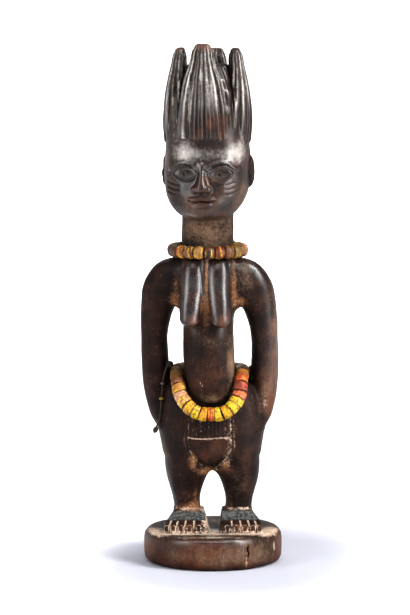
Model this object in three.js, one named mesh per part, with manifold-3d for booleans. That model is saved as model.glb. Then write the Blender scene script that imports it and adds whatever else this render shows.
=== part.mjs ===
// A standing twin figure carved with its round base from one block of wood, with two strings of beads.
// Millimetres, +Z up, the figure looks along -Y. The origin is the centre of the base's underside.
import * as THREE from 'three';
import { LoftGeometry } from 'three/addons/geometries/LoftGeometry.js';
import { mergeVertices } from 'three/addons/utils/BufferGeometryUtils.js';
import Module from 'manifold-3d';

const wasm = await Module();
wasm.setup();

// Driving dimensions
const BASE_DIAMETER = 72.4;
const BASE_HEIGHT = 17;
const BASE_TOP_ROUNDING = 2.6;
const BASE_FOOT_ROUNDING = 3.4;
const FIGURE_HEIGHT = 253; // from the base's top to the tip of the front hair lobe
const SOLE_SINK = 1; // the feet run into the base, which is the same wood
const LEAN = 2.8; // the body's axis drifts this far to -X on its way up
const CHEST_TURN = 6; // degrees that the chest is turned towards -X
const HEAD_TURN = 8; // and the head
const NECKLACE_BEADS = 22;
const NECKLACE_BEAD_DIAMETER = 7.4;
const NECKLACE_SLACK = 0.7; // between the neck and the beads round it
const WAIST_SLOTS = 34; // one of them is left for the knot
const KNOT_SLOT = 24;
const WAIST_BEAD_DIAMETER = 7.8;
const BEAD_BORE = 2.4;
const BEAD_GAP = 0.35; // between neighbours on a string
const BEAD_CLEARANCE = 0.35; // between a bead and the wood that it lies against
const STRING_DIAMETER = BEAD_BORE - 1.2;
const KNOT_DIAMETER = BEAD_BORE + 1.6; // too thick for the bore
const TAIL_DIAMETER = 1; // the waist string's loose end, which hangs in front of the arm
const TAIL_KNOT_DIAMETER = 2.8;
const TOUCHING_GAP = 0.3; // between pieces that meet

// The carving's sizes are in parts, 253 to the figure's height, so a part is a millimetre on the real
// figure. Heights are counted from the base's top, and front is the lower y.
const PARTS = 253;
const part = FIGURE_HEIGHT / PARTS;

// Section shapes, as the exponent of a superellipse: 2 is an ellipse and more is squarer.
const ROUND = 2;
const SOFT = 2.4;
const BLOCKY = 3;

const clamp01 = (t) => Math.min(1, Math.max(0, t));
const ease = (from, to, value) => {
	const t = clamp01((value - from) / (to - from));
	return t * t * (3 - 2 * t);
};

// Where a point of the straight figure, in parts, comes to lie in the block, in millimetres.
const HIP_LEVEL = 56;
const ARMPIT_LEVEL = 116;
const NECK_LEVEL = 146;
const CHIN_LEVEL = 166;
function turnAt(z) {
	const degrees = CHEST_TURN * ease(HIP_LEVEL, ARMPIT_LEVEL, z)
		+ (HEAD_TURN - CHEST_TURN) * ease(NECK_LEVEL, CHIN_LEVEL, z);
	return -THREE.MathUtils.degToRad(degrees);
}

function stand(p) {
	const q = p.clone().applyAxisAngle(new THREE.Vector3(0, 0, 1), turnAt(p.z));
	const lean = LEAN * ease(0, NECK_LEVEL, p.z);
	return new THREE.Vector3(q.x * part - lean, q.y * part, q.z * part + BASE_HEIGHT);
}

// A closed three.js geometry as a solid, and back
function solid(geometry) {
	const bare = new THREE.BufferGeometry();
	bare.setAttribute('position', geometry.getAttribute('position'));
	bare.setIndex(geometry.index);
	const merged = mergeVertices(bare, 1e-4);
	return new wasm.Manifold(new wasm.Mesh({
		numProp: 3,
		vertProperties: merged.attributes.position.array,
		triVerts: new Uint32Array(merged.index.array),
	}));
}

function geometryOf(manifold) {
	const mesh = manifold.getMesh();
	const geometry = new THREE.BufferGeometry();
	geometry.setAttribute('position', new THREE.BufferAttribute(new Float32Array(mesh.vertProperties), 3));
	geometry.setIndex(new THREE.BufferAttribute(new Uint32Array(mesh.triVerts), 1));
	return geometry;
}

const joined = (solids) => solids.reduce((all, one) => all.add(one));

// One section: a superellipse round centre, with u and v as its half axes
function section(centre, u, v, count, shape) {
	const bulge = (c) => Math.sign(c) * Math.abs(c) ** (2 / shape);
	return Array.from({ length: count }, (_, i) => {
		const angle = (i / count) * 2 * Math.PI;
		return centre.clone()
			.addScaledVector(u, bulge(Math.cos(angle)))
			.addScaledVector(v, bulge(Math.sin(angle)));
	});
}

const lofted = (sections) => solid(new LoftGeometry(sections, { capStart: true, capEnd: true }));

// A mass built up of level sections. A row is [height, half width, front y, back y, middle x].
function mass(rows, count, shape, side = 1) {
	return lofted(rows.map(([z, half, front, back, x = 0]) => section(
		new THREE.Vector3(side * x, (front + back) / 2, z),
		new THREE.Vector3(half, 0, 0),
		new THREE.Vector3(0, (back - front) / 2, 0),
		count,
		shape,
	)));
}

// A limb that follows a line. A row is [x, y, z, half thickness across, half depth in y].
function limb(rows, count, shape, side = 1) {
	const points = rows.map(([x, y, z]) => new THREE.Vector3(side * x, y, z));
	const depth = new THREE.Vector3(0, 1, 0);
	return lofted(rows.map(([, , , across, deep], i) => {
		const before = points[Math.max(0, i - 1)];
		const after = points[Math.min(points.length - 1, i + 1)];
		const along = after.clone().sub(before).setY(0).normalize();
		const u = depth.clone().cross(along).multiplyScalar(across);
		return section(points[i], u, depth.clone().multiplyScalar(deep), count, shape);
	}));
}

function ellipsoid([x, y, z], [rx, ry, rz], around = 8, down = 5) {
	const ball = new THREE.SphereGeometry(1, around, down).rotateX(Math.PI / 2);
	return solid(ball.scale(rx, ry, rz).translate(x, y, z));
}

const bothSides = (make) => joined([1, -1].map(make));

// Legs and hips: short bent legs that part at the crotch
function leg(side) {
	return mass([
		[2, 6.9, -6.2, 8.8, 13.1],
		[11, 6.9, -6.2, 8.8, 13.4],
		[16, 7.2, -6.6, 9.8, 13.8],
		[23, 9, -9, 11.6, 13.9],
		[29, 10.9, -11, 12.4, 13.4],
		[36, 12.8, -12.3, 14.2, 13.1],
		[42, 12.8, -12.7, 15.6, 13.3],
		[49, 11.9, -12.2, 15.4, 13],
		[57, 8.6, -8, 10, 12.6],
	], 12, SOFT, side);
}

const HIP_FRONT = -14.4;
const HIP_SHELF = 78; // the hips end in a shelf that carries the waist string
function hips() {
	return mass([
		[31.5, 7, -7, 8],
		[36, 17, -11.4, 13],
		[42, 26.2, -13.7, 17.2],
		[50, 27.9, HIP_FRONT, 19.4],
		[62, 27, HIP_FRONT + 0.3, 18.6],
		[71, 24.6, -13, 15.6],
		[75.4, 22, -11.8, 13.4],
		[HIP_SHELF, 18.5, -10.6, 11.8],
	], 20, SOFT);
}

// Body: a column whose front is the belly, which ends in a rounded tongue
const BODY_HALF_WIDTH = 13.2;
const BELLY_BOTTOM = 66.8;
function body() {
	return mass([
		[BELLY_BOTTOM, 3.6, -15, -5],
		[BELLY_BOTTOM + 1.8, 6.4, -17.2, -3],
		[BELLY_BOTTOM + 4.7, 9.2, -18.9, 2],
		[BELLY_BOTTOM + 8.2, 11.6, -19.9, 9],
		[80, BODY_HALF_WIDTH - 0.2, -20.2, 11.4],
		[87, BODY_HALF_WIDTH, -19.4, 11.2],
		[97, BODY_HALF_WIDTH, -17.6, 11],
		[108, BODY_HALF_WIDTH, -14.8, 11.2],
		[112, BODY_HALF_WIDTH + 0.3, -13.8, 11.2],
		[115, 15, -12.4, 11],
		[118, 19.4, -10.6, 10.6],
		[128, 20, -10.6, 12.4],
		[137, 18.5, -10.4, 12.4],
		[142, 15.5, -8.8, 11],
	], 16, SOFT);
}

function breast(side) {
	return limb([
		[6.2, -6.5, 141.5, 5, 4],
		[6.4, -9.4, 137, 6, 5],
		[6.8, -13.2, 124, 6.2, 5.8],
		[7.8, -16.2, 113.5, 5.4, 5.3],
		[8.3, -17.6, 109.4, 4.2, 3.9],
		[8.4, -18.4, 107.4, 1.8, 1.7],
	], 10, ROUND, side);
}

// Arms: one with the shoulders, free of the body, the flat hands laid on the hips. The gap beside the
// body lets the waist string through.
const GAP = (WAIST_BEAD_DIAMETER + 2 * BEAD_CLEARANCE) / part;
const ARM_HALF = 7.1;
const ARM_X = BODY_HALF_WIDTH + GAP + ARM_HALF;
function arm(side) {
	return limb([
		[7, 0.5, 131, 10.8, 8.2],
		[15, 0.5, 130.6, 11.9, 8.8],
		[20, 0.7, 129, 11.8, 9],
		[ARM_X - 4.9, 1, 125.2, 10.4, 9],
		[ARM_X - 2.7, 1.4, 119.4, 9.3, 8.8],
		[ARM_X - 1, 1.9, 112, 8, 8.5],
		[ARM_X, 2.5, 102, ARM_HALF, 8.1],
		[ARM_X, 3.2, 89, ARM_HALF, 7.9],
		[ARM_X - 0.5, 3.2, 77, 7, 7.7],
		[ARM_X - 1.4, 2.4, 67, 6.2, 7.2],
		[ARM_X - 2.4, 0.8, 59, 4.6, 6.4],
		[ARM_X - 3.1, -0.6, 53, 1.6, 3.8],
	], 10, ROUND, side);
}

// Neck
const NECK_HALF = 13.5;
function neck() {
	return mass([
		[138, NECK_HALF + 0.3, -13, 14],
		[152, NECK_HALF + 0.1, -12.8, 13.8],
		[172, NECK_HALF - 0.1, -12.6, 13.6],
	], 18, ROUND);
}

// Head, which runs up into the cap that the hair stands on
const CHIN = 164;
const HAIRLINE = 204;
function head() {
	return mass([
		[CHIN - 1.4, 9, -17, 4],
		[CHIN + 1, 13.4, -20.2, 8],
		[169, 17.4, -22, 12],
		[175, 20.6, -22.7, 17],
		[184, 21.9, -22.9, 20.8],
		[196, 21.9, -22, 21.6],
		[HAIRLINE + 2, 21.2, -20.6, 21],
		[220, 19.6, -19.6, 19.6],
		[232, 16.2, -16.2, 16.2],
		[242.5, 10.4, -10.4, 10.4],
	], 18, SOFT);
}

// Face: calm and plain, in thirds of the height from chin to hairline
const THIRD = (HAIRLINE - CHIN) / 3;
const NOSE_BASE = CHIN + THIRD;
const BROW = CHIN + 2 * THIRD;
const EYE_LEVEL = BROW - 4;
const MOUTH_LEVEL = CHIN + 0.64 * THIRD;
const EYE_X = 9.2;
function eye(side) {
	const centre = [side * EYE_X, -20.2, EYE_LEVEL];
	const lids = ellipsoid(centre, [6.2, 2.8, 4.4], 8, 4);
	const hollow = ellipsoid([centre[0], centre[1] - 3.4, EYE_LEVEL], [5.2, 2.6, 3.4], 6, 4);
	const ball = ellipsoid([centre[0], centre[1] - 0.3, EYE_LEVEL], [4.4, 2.6, 2.8], 6, 4);
	return lids.subtract(hollow).add(ball);
}

function nose() {
	return mass([
		[NOSE_BASE - 0.6, 3.6, -25, -20],
		[NOSE_BASE + 1, 4.5, -26.6, -19],
		[NOSE_BASE + 4, 3.2, -25.8, -19],
		[BROW - 3, 1.9, -24, -20],
		[BROW + 1, 2.4, -23, -20],
	], 10, ROUND);
}

function lips() {
	const upper = ellipsoid([0, -22.2, MOUTH_LEVEL + 1.1], [6.4, 2.1, 1.5]);
	const lower = ellipsoid([0, -22, MOUTH_LEVEL - 1.2], [5.6, 2.1, 1.7]);
	return upper.add(lower);
}

function ear(side) {
	const x = side * 22;
	const shell = ellipsoid([x, 1.5, EYE_LEVEL], [2.2, 4.4, 8.6], 8, 4);
	return shell.subtract(ellipsoid([x + side * 2, -0.4, EYE_LEVEL + 0.6], [1.6, 2.3, 5.6], 6, 4));
}

// Hair: four fluted lobes that rise from a shared cap and part near the top
const FLUTES = 6;
const FLUTE_DEPTH = 0.9;
const FACETS_INSIDE = 3;
const LOBES = [
	{ azimuth: -90, top: 253, bottom: HAIRLINE, spread: 0 },
	{ azimuth: 0, top: 250.6, bottom: HAIRLINE - 2, spread: 3.6 },
	{ azimuth: 79, top: 250.4, bottom: HAIRLINE - 2, spread: 3.6 },
	{ azimuth: 180, top: 250.8, bottom: HAIRLINE - 2, spread: 3.6 },
];
// A row is [height as a share of the lobe, outer radius, inner radius, half width]. The spread is
// what a lobe is wider by at its foot, where it wraps round the head.
const LOBE_ROWS = [
	[0, 22.6, 2, 10.7],
	[0.25, 23.2, 4, 10.2],
	[0.5, 22.3, 7.6, 9],
	[0.75, 19.9, 10.4, 6.9],
	[0.95, 17.6, 11.4, 4.9],
	[1, 15.8, 12.8, 2.8],
];

function lobe({ azimuth, top, bottom, spread }) {
	const out = new THREE.Vector3(1, 0, 0).applyAxisAngle(
		new THREE.Vector3(0, 0, 1), THREE.MathUtils.degToRad(azimuth));
	const across = new THREE.Vector3(0, 0, 1).cross(out);
	const outside = 2 * FLUTES;
	const bulge = (c) => Math.sign(c) * Math.abs(c) ** (2 / (spread ? SOFT : BLOCKY));
	return lofted(LOBE_ROWS.map(([share, outer, inner, narrow]) => {
		const half = narrow + spread * (1 - ease(0, 0.75, share));
		const middle = (outer + inner) / 2;
		const thick = (outer - inner) / 2;
		const point = (angle, cut) => out.clone()
			.multiplyScalar(middle + (thick - cut) * bulge(Math.cos(angle)))
			.addScaledVector(across, (half - cut) * bulge(Math.sin(angle)))
			.setZ(bottom + share * (top - bottom));
		const front = Array.from({ length: outside + 1 }, (_, i) => {
			const even = i / outside - 0.5;
			const angle = Math.PI * even * (0.55 + 1.8 * even * even);
			return point(angle, i % 2 ? 0 : FLUTE_DEPTH);
		});
		const behind = Array.from({ length: FACETS_INSIDE }, (_, i) =>
			point(Math.PI * (0.5 + (i + 1) / (FACETS_INSIDE + 1)), 0));
		return [...front, ...behind];
	}));
}

// Feet: wedges with an upright inner side, their ends cut into five toes
const TOES = 5;
// A row is [y, middle x, half width, height, depth of the cuts between the toes].
const FOOT_ROWS = [
	[12, 12.6, 6.8, 7.6, 0],
	[4, 13, 8.2, 10.4, 0],
	[-4, 13.3, 8.6, 10, 0],
	[-11.4, 14.4, 9.8, 6.4, 0.2],
	[-13, 14.7, 10.1, 5.6, 1.3],
	[-17, 15.1, 10.3, 3.9, 1.4],
	[-18.2, 15.1, 10, 2, 0.7],
];
function foot(side) {
	return lofted(FOOT_ROWS.map(([y, x, half, height, cut]) => {
		const point = (across, z) => new THREE.Vector3(side * x + across * half, y, z);
		const top = Array.from({ length: 2 * TOES + 1 }, (_, i) => {
			const across = 1 - i / TOES;
			const round = 1 - 0.16 * across ** 4;
			return point(across * 0.97, i % 2 ? height * round : height * round - cut);
		});
		return [point(-1, -SOLE_SINK), point(1, -SOLE_SINK), ...top];
	}));
}

// Apron: a band over a rounded triangle, cut proud of the hips
function apron() {
	const shield = mass([
		[32.6, 1.4, HIP_FRONT + 1, -6],
		[36, 4.8, HIP_FRONT - 0.3, -6],
		[41, 8.2, HIP_FRONT - 0.8, -6],
		[47.2, 9.9, HIP_FRONT - 1, -6],
	], 10, BLOCKY);
	const band = mass([
		[48.2, 10.6, HIP_FRONT - 0.9, -6],
		[56, 10.8, HIP_FRONT - 0.6, -6],
	], 10, BLOCKY);
	return shield.add(band);
}

// Base: a disc with rounded rims
const RIM_STEPS = 2;
function base() {
	const radius = BASE_DIAMETER / 2;
	const rim = (middleZ, rounding, from, to) => Array.from({ length: RIM_STEPS + 1 }, (_, i) => {
		const angle = from + ((to - from) * i) / RIM_STEPS;
		return new THREE.Vector2(
			radius - rounding + rounding * Math.cos(angle),
			middleZ + rounding * Math.sin(angle),
		);
	});
	const foot = Math.min(BASE_FOOT_ROUNDING, 0.45 * BASE_HEIGHT);
	const top = Math.min(BASE_TOP_ROUNDING, 0.45 * BASE_HEIGHT);
	const profile = [
		new THREE.Vector2(0, 0),
		...rim(foot, foot, -Math.PI / 2, 0),
		...rim(BASE_HEIGHT - top, top, 0, Math.PI / 2),
		new THREE.Vector2(0, BASE_HEIGHT),
	];
	return solid(new THREE.LatheGeometry(profile, 30).rotateX(Math.PI / 2));
}

// The whole carving: joined straight, then stood in the block and joined to the base
function carving() {
	const straight = geometryOf(joined([
		bothSides(leg), hips(), body(), bothSides(breast), bothSides(arm), neck(), head(),
		bothSides(eye), nose(), lips(), bothSides(ear), ...LOBES.map(lobe), bothSides(foot), apron(),
	]));
	const position = straight.getAttribute('position');
	for (let i = 0; i < position.count; i += 1) {
		const p = stand(new THREE.Vector3().fromBufferAttribute(position, i));
		position.setXYZ(i, p.x, p.y, p.z);
	}
	return geometryOf(solid(straight).add(base()));
}

// Strings. A string's line is a closed curve, and its beads are threaded on it at even steps.
const SHOULDER_TOP = 142;
function necklaceLine() {
	const reach = NECK_HALF + (NECKLACE_SLACK + NECKLACE_BEAD_DIAMETER / 2) / part;
	const rise = (BEAD_CLEARANCE + NECKLACE_BEAD_DIAMETER / 2) / part;
	const points = Array.from({ length: 12 }, (_, i) => {
		const angle = (i / 12) * 2 * Math.PI;
		return stand(new THREE.Vector3(
			reach * Math.cos(angle), 0.5 + reach * Math.sin(angle), SHOULDER_TOP + rise));
	});
	return new THREE.CatmullRomCurve3(points, true);
}

// The waist string: half of its line, from the lowest bead in front to the middle of the back. A row
// is a point on the wood and the way out from it to the beads' middle, in bead radii.
const WAIST_PATH = [
	[0, -14.5, 66.4, 0, -1, -1],
	[4.8, -14.6, 66.6, 0.1, -1, -1],
	[7.2, -14.5, 68, 0.6, -1, -0.8],
	[9.7, -13, 70.3, 0.85, -1, -0.5],
	[11.6, -11, 73.6, 0.95, -1, -0.3],
	[BODY_HALF_WIDTH - 0.4, -8.9, 76.8, 1, -1, 0],
	[BODY_HALF_WIDTH, -6.4, HIP_SHELF - 0.8, 1, -0.6, 0.8],
	[BODY_HALF_WIDTH, -2.5, HIP_SHELF + 0.3, 1, 0, 1],
	[BODY_HALF_WIDTH, 3.5, HIP_SHELF + 0.5, 1, 0, 1],
	[11.2, 8.2, HIP_SHELF, 0.7, 0.8, 1],
	[7.2, 11.4, HIP_SHELF - 0.4, 0.2, 1, 1],
	[0, 12.3, HIP_SHELF - 0.8, 0, 1, 1],
];
function waistLine() {
	const rise = (BEAD_CLEARANCE + WAIST_BEAD_DIAMETER / 2) / part;
	const half = WAIST_PATH.map(([x, y, z, dx, dy, dz]) =>
		new THREE.Vector3(x + dx * rise, y + dy * rise, z + dz * rise));
	const mirrored = half.slice(1, -1).reverse().map((p) => p.clone().setX(-p.x));
	return new THREE.CatmullRomCurve3([...half, ...mirrored].map(stand), true);
}

// The frame of a curve at one place: which way it runs, and which way its bend faces
function frameAt(curve, share) {
	const step = 0.01;
	const along = curve.getTangentAt(share);
	const out = curve.getTangentAt((share - step + 1) % 1).sub(curve.getTangentAt((share + step) % 1));
	out.addScaledVector(along, -out.dot(along)).normalize();
	return { along, out };
}

// A bead: a crowned ring round its bore, each face worn to lie along its neighbour's
const BEAD_SIDES = 7;
function bead(curve, slot, slots, diameter, crown) {
	const centre = curve.getPointAt(slot / slots);
	const { along, out } = frameAt(curve, slot / slots);
	const frame = new THREE.Matrix4().makeBasis(out, along, out.clone().cross(along));
	const outer = diameter / 2;
	const bore = BEAD_BORE / 2;
	const profile = [[bore, 1], [bore, -1], [outer - crown, -1]];
	if (crown > 0.5) profile.push([outer, 0]);
	profile.push([outer - crown, 1], [bore, 1]);
	const ring = new THREE.LatheGeometry(profile.map(([x, y]) => new THREE.Vector2(x, y)), BEAD_SIDES);
	const position = ring.getAttribute('position');
	for (let i = 0; i < position.count; i += 1) {
		const end = Math.sign(position.getY(i));
		const share = ((slot + end / 2) / slots + 1) % 1;
		const facing = curve.getTangentAt(share);
		const face = curve.getPointAt(share).addScaledVector(facing, -end * BEAD_GAP / 2).sub(centre);
		const p = new THREE.Vector3(position.getX(i), 0, position.getZ(i)).applyMatrix4(frame);
		p.addScaledVector(along, Math.abs(end) * face.sub(p).dot(facing) / along.dot(facing));
		position.setXYZ(i, p.x, p.y, p.z);
	}
	return ring.translate(centre.x, centre.y, centre.z);
}

function threaded(name, curve, slots, empty, diameter, crown, colours) {
	const taken = Array.from({ length: slots }, (_, i) => i).filter((i) => i !== empty);
	return taken.map((slot, i) => {
		const piece = new THREE.Mesh(
			bead(curve, slot, slots, diameter, crown), glass(colours[i % colours.length]));
		piece.name = `${name}_${String(i + 1).padStart(2, '0')}`;
		return piece;
	});
}

// A string: a torus led along the curve, thickened where it is knotted
const STRING_CORNERS = 5;
function string(name, curve, slots, knotSlot) {
	const knot = knotSlot === undefined ? [] : [-0.42, -0.2, 0.2, 0.42].map((d) => knotSlot + d);
	const stops = [...Array.from({ length: slots }, (_, i) => i), ...knot].sort((a, b) => a - b);
	const count = stops.length;
	const ring = new THREE.TorusGeometry(1, 1, STRING_CORNERS, count);
	const position = ring.getAttribute('position');
	for (let i = 0; i < position.count; i += 1) {
		const row = Math.floor(i / (count + 1));
		const stop = stops[(i % (count + 1)) % count];
		const share = stop / slots;
		const { along, out } = frameAt(curve, share);
		const angle = (row / STRING_CORNERS) * 2 * Math.PI;
		const knotted = Math.abs(stop - knotSlot) < 0.3;
		const radius = (knotted ? KNOT_DIAMETER : STRING_DIAMETER) / 2;
		const p = curve.getPointAt(share)
			.addScaledVector(out, Math.cos(angle) * radius)
			.addScaledVector(along.cross(out), -Math.sin(angle) * radius);
		position.setXYZ(i, p.x, p.y, p.z);
	}
	const piece = new THREE.Mesh(ring, cotton);
	piece.name = name;
	return piece;
}

// The waist string's loose end, a limp cord that hangs from the knot. Its points are in millimetres.
const TAIL_POINTS = [
	[-21.5, -0.8, 102.2],
	[-22.5, -1.8, 103.4],
	[-23.6, -3, 103],
	[-24.5, -3.9, 101.2],
	[-25.7, -4.1, 97],
	[-26.2, -4.1, 92.8],
	[-26.8, -5.1, 86],
	[-27.3, -6.3, 79],
	[-28.1, -6.5, 74],
	[-29.3, -6, 71.3],
];
const TAIL_SIDES = 8;
const TAIL_STEPS = 14;
function tail() {
	const path = new THREE.CatmullRomCurve3(TAIL_POINTS.map((p) => new THREE.Vector3(...p)));
	const round = new THREE.Shape(Array.from({ length: TAIL_SIDES }, (_, i) => {
		const angle = (i / TAIL_SIDES) * 2 * Math.PI;
		return new THREE.Vector2(Math.cos(angle), Math.sin(angle)).multiplyScalar(TAIL_DIAMETER / 2);
	}));
	const tube = new THREE.Mesh(
		new THREE.ExtrudeGeometry(round, { steps: TAIL_STEPS, extrudePath: path }), cotton);
	tube.name = 'waist_string_tail';

	const knot = new THREE.Mesh(new THREE.SphereGeometry(TAIL_KNOT_DIAMETER / 2, 8, 5), cotton);
	knot.name = 'tail_knot';
	knot.position.copy(path.getPoint(1)).addScaledVector(
		path.getTangent(1), TOUCHING_GAP + TAIL_KNOT_DIAMETER / 2);
	return [tube, knot];
}

// Materials
const wood = new THREE.MeshStandardMaterial({ color: 0x2e1a15, roughness: 0.38, metalness: 0 });
const cotton = new THREE.MeshStandardMaterial({ color: 0x1b1613, roughness: 0.9, metalness: 0 });
const YELLOW = 0xd9a915;
const OCHRE = 0xb87a2c;
const RED = 0xa83a22;
const PINK = 0xc4856a;
const BROWN = 0x5e3a26;
const glass = (color) => new THREE.MeshStandardMaterial({ color, roughness: 0.45, metalness: 0 });

const figure = new THREE.Mesh(carving(), wood);
figure.name = 'carved_figure';

const neckCurve = necklaceLine();
const waistCurve = waistLine();
const twin = new THREE.Group();
twin.add(
	figure,
	string('necklace_string', neckCurve, NECKLACE_BEADS),
	string('waist_string', waistCurve, WAIST_SLOTS, KNOT_SLOT),
	...tail(),
	...threaded('necklace_bead', neckCurve, NECKLACE_BEADS, -1, NECKLACE_BEAD_DIAMETER, 0.7,
		[OCHRE, YELLOW, BROWN, YELLOW, RED]),
	...threaded('waist_bead', waistCurve, WAIST_SLOTS, KNOT_SLOT, WAIST_BEAD_DIAMETER, 0.3,
		[PINK, YELLOW, YELLOW, OCHRE, YELLOW, RED]),
);

export default twin;
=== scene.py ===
# %% [markdown]
# # A carved twin figure with two strings of glass beads
# The real thing is one block of dark, handled wood, about 27 cm tall, that a carver cut with adze and
# knife. It wears a short string of barrel beads round the neck and a long one of disc beads that hangs
# over the hips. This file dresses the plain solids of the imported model: it carves the figure again
# with soft transitions and fine cuts, threads smooth beads, and gives everything its worn finish.

import math

import bpy
import numpy as np
import openvdb as vdb
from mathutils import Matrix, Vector


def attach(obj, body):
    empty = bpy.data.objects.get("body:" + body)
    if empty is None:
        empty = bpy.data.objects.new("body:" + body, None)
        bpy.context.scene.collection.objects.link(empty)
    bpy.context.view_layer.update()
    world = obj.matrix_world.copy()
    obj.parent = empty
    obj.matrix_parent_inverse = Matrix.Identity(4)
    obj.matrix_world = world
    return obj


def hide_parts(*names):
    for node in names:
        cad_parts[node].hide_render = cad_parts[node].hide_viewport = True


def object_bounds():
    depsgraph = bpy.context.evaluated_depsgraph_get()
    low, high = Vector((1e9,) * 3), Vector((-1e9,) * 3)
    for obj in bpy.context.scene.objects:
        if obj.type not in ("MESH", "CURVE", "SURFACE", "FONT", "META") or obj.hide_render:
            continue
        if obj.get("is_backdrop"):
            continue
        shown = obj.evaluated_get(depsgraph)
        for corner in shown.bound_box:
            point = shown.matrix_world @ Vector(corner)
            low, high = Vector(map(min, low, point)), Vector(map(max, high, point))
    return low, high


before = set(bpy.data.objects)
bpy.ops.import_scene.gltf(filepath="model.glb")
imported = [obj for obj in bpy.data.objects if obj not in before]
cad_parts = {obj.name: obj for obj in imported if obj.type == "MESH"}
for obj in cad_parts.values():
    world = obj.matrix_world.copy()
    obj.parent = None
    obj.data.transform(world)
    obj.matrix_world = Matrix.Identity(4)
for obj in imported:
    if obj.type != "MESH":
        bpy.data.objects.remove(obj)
solids_low, solids_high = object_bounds()
MM = 0.001
print("nodes:", len(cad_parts), " box in mm:", [round(v / MM, 1) for v in (*solids_low, *solids_high)])

# %% [markdown]
# ## Camera
# The picture was taken from well in front with a long lens, a little above the figure, looking down
# by about six degrees. A camera a metre and a half away with a 170 mm lens sees it the same way.

# %% Camera
LENS, CAMERA_AT, AIM_AT = 169.6, (-4.2, -1500, 296), (-4.2, 0, 132.9)


def put_in(name, data):
    """A new object in the scene."""
    thing = bpy.data.objects.new(name, data)
    bpy.context.scene.collection.objects.link(thing)
    return thing


def point_at(thing, place, aim):
    """Stand a camera or a light at one place and turn it towards another, in metres."""
    thing.location = place
    thing.rotation_euler = (Vector(aim) - Vector(place)).to_track_quat("-Z", "Y").to_euler()


camera = put_in("front_camera", bpy.data.cameras.new("front_camera"))
camera.data.sensor_width, camera.data.lens = 36, LENS
point_at(camera, Vector(CAMERA_AT) * MM, Vector(AIM_AT) * MM)
bpy.context.scene.camera = camera
look_down = math.degrees(math.atan2(CAMERA_AT[2] - AIM_AT[2], -CAMERA_AT[1]))
print("camera looks down by", round(look_down, 2), "degrees")

# %% [markdown]
# ## Smooth lines and tables
# A carver thinks in a few measures and runs a smooth line through them. Straight steps between the
# measures would show as facets, and a spline object would hide the numbers, so a small function reads
# any table of measures along a curve that passes through every row.


# %% Read a table smoothly
def smooth(table, at):
    """The columns of a table between its rows. The first column is what they're read by."""
    table = np.asarray(table, float)
    key, rows = table[:, 0], table[:, 1:]
    slope = np.gradient(rows, key, axis=0)
    at = np.clip(np.asarray(at, float), key[0], key[-1])
    i = np.clip(np.searchsorted(key, at) - 1, 0, len(key) - 2)
    step = (key[i + 1] - key[i])[..., None]
    t = (at - key[i])[..., None] / step
    return (
        (2 * t**3 - 3 * t**2 + 1) * rows[i]
        + (t**3 - 2 * t**2 + t) * step * slope[i]
        + (3 * t**2 - 2 * t**3) * rows[i + 1]
        + (t**3 - t**2) * step * slope[i + 1]
    )


def ease(low, high, value):
    """0 below low, 1 above high, and a soft step between them."""
    t = np.clip((np.asarray(value, float) - low) / (high - low), 0, 1)
    return t * t * (3 - 2 * t)


print("half-way between 1 and 3:", smooth([[0, 1], [1, 3], [2, 4]], [0.5]).round(3))


# %% Read a line of points smoothly
def along(points, count, closed=False):
    """Evenly spaced points on a curve through some points in space."""
    points = np.asarray(points, float)
    if closed:
        points = np.vstack([points[-3:], points, points[:4]])
    run = np.r_[0, np.cumsum(np.linalg.norm(np.diff(points, axis=0), axis=1) ** 0.5)]
    first, last = (3, -4) if closed else (0, -1)
    fine = smooth(np.c_[run, points], np.linspace(run[first], run[last], 4000))
    length = np.r_[0, np.cumsum(np.linalg.norm(np.diff(fine, axis=0), axis=1))]
    stops = np.linspace(0, length[-1], count, endpoint=not closed)
    return np.stack([np.interp(stops, length, fine[:, k]) for k in range(3)], axis=1), length[-1]


print("a quarter of a circle is", round(along([(1, 0, 0), (0.707, 0.707, 0), (0, 1, 0)], 9)[1], 2), "long")

# %% [markdown]
# ## The figure's measures
# The carver's proportions: the figure is 253 parts tall above the base, and a part is a millimetre.
# Heights count from the base's top, and the front is the lower y. The same measures made the solids.

# %% Measures
BASE_RADIUS, BASE_HEIGHT = 36.2, 17.0
LEAN, CHEST_TURN, HEAD_TURN = 2.8, 6.0, 8.0  # mm to its right at the neck, and degrees
NECKLACE_SLOTS, NECKLACE_BEAD = 22, 7.4  # places on the string, and a bead's diameter
WAIST_SLOTS, KNOT_SLOT, WAIST_BEAD = 34, 24, 7.8
BORE, CLEARANCE = 2.4, 0.35
BODY_HALF, ARM_HALF = 13.2, 7.1
ARM_X = BODY_HALF + WAIST_BEAD + 2 * CLEARANCE + ARM_HALF
HIP_FRONT, HIP_SHELF, BELLY = -14.4, 78.0, 66.8
CHIN, HAIRLINE = 164.0, 204.0
THIRD = (HAIRLINE - CHIN) / 3
NOSE, BROW = CHIN + THIRD, CHIN + 2 * THIRD
EYE, MOUTH, EYE_X = BROW - 4, CHIN + 0.64 * THIRD, 9.2
OVAL, SOFT = 2.0, 2.4  # how full a section's corners are: an ellipse, and a little fuller
print("eyes at", round(EYE, 1), "nose at", round(NOSE, 1), "mouth at", round(MOUTH, 1))


# %% Where a straight point stands in the block
def stand(p):
    """The straight figure's points, turned and leant as it stands in the block, over its base."""
    x, y, z = np.asarray(p, float).T
    turn = -np.radians(CHEST_TURN * ease(56, 116, z) + (HEAD_TURN - CHEST_TURN) * ease(146, 166, z))
    shift = LEAN * ease(0, 146, z)
    c, s = np.cos(turn), np.sin(turn)
    return np.stack([c * x - s * y - shift, s * x + c * y, z + BASE_HEIGHT], axis=1)


print("the crown stands at", stand([(0, 0, 253)]).round(1)[0])

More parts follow.
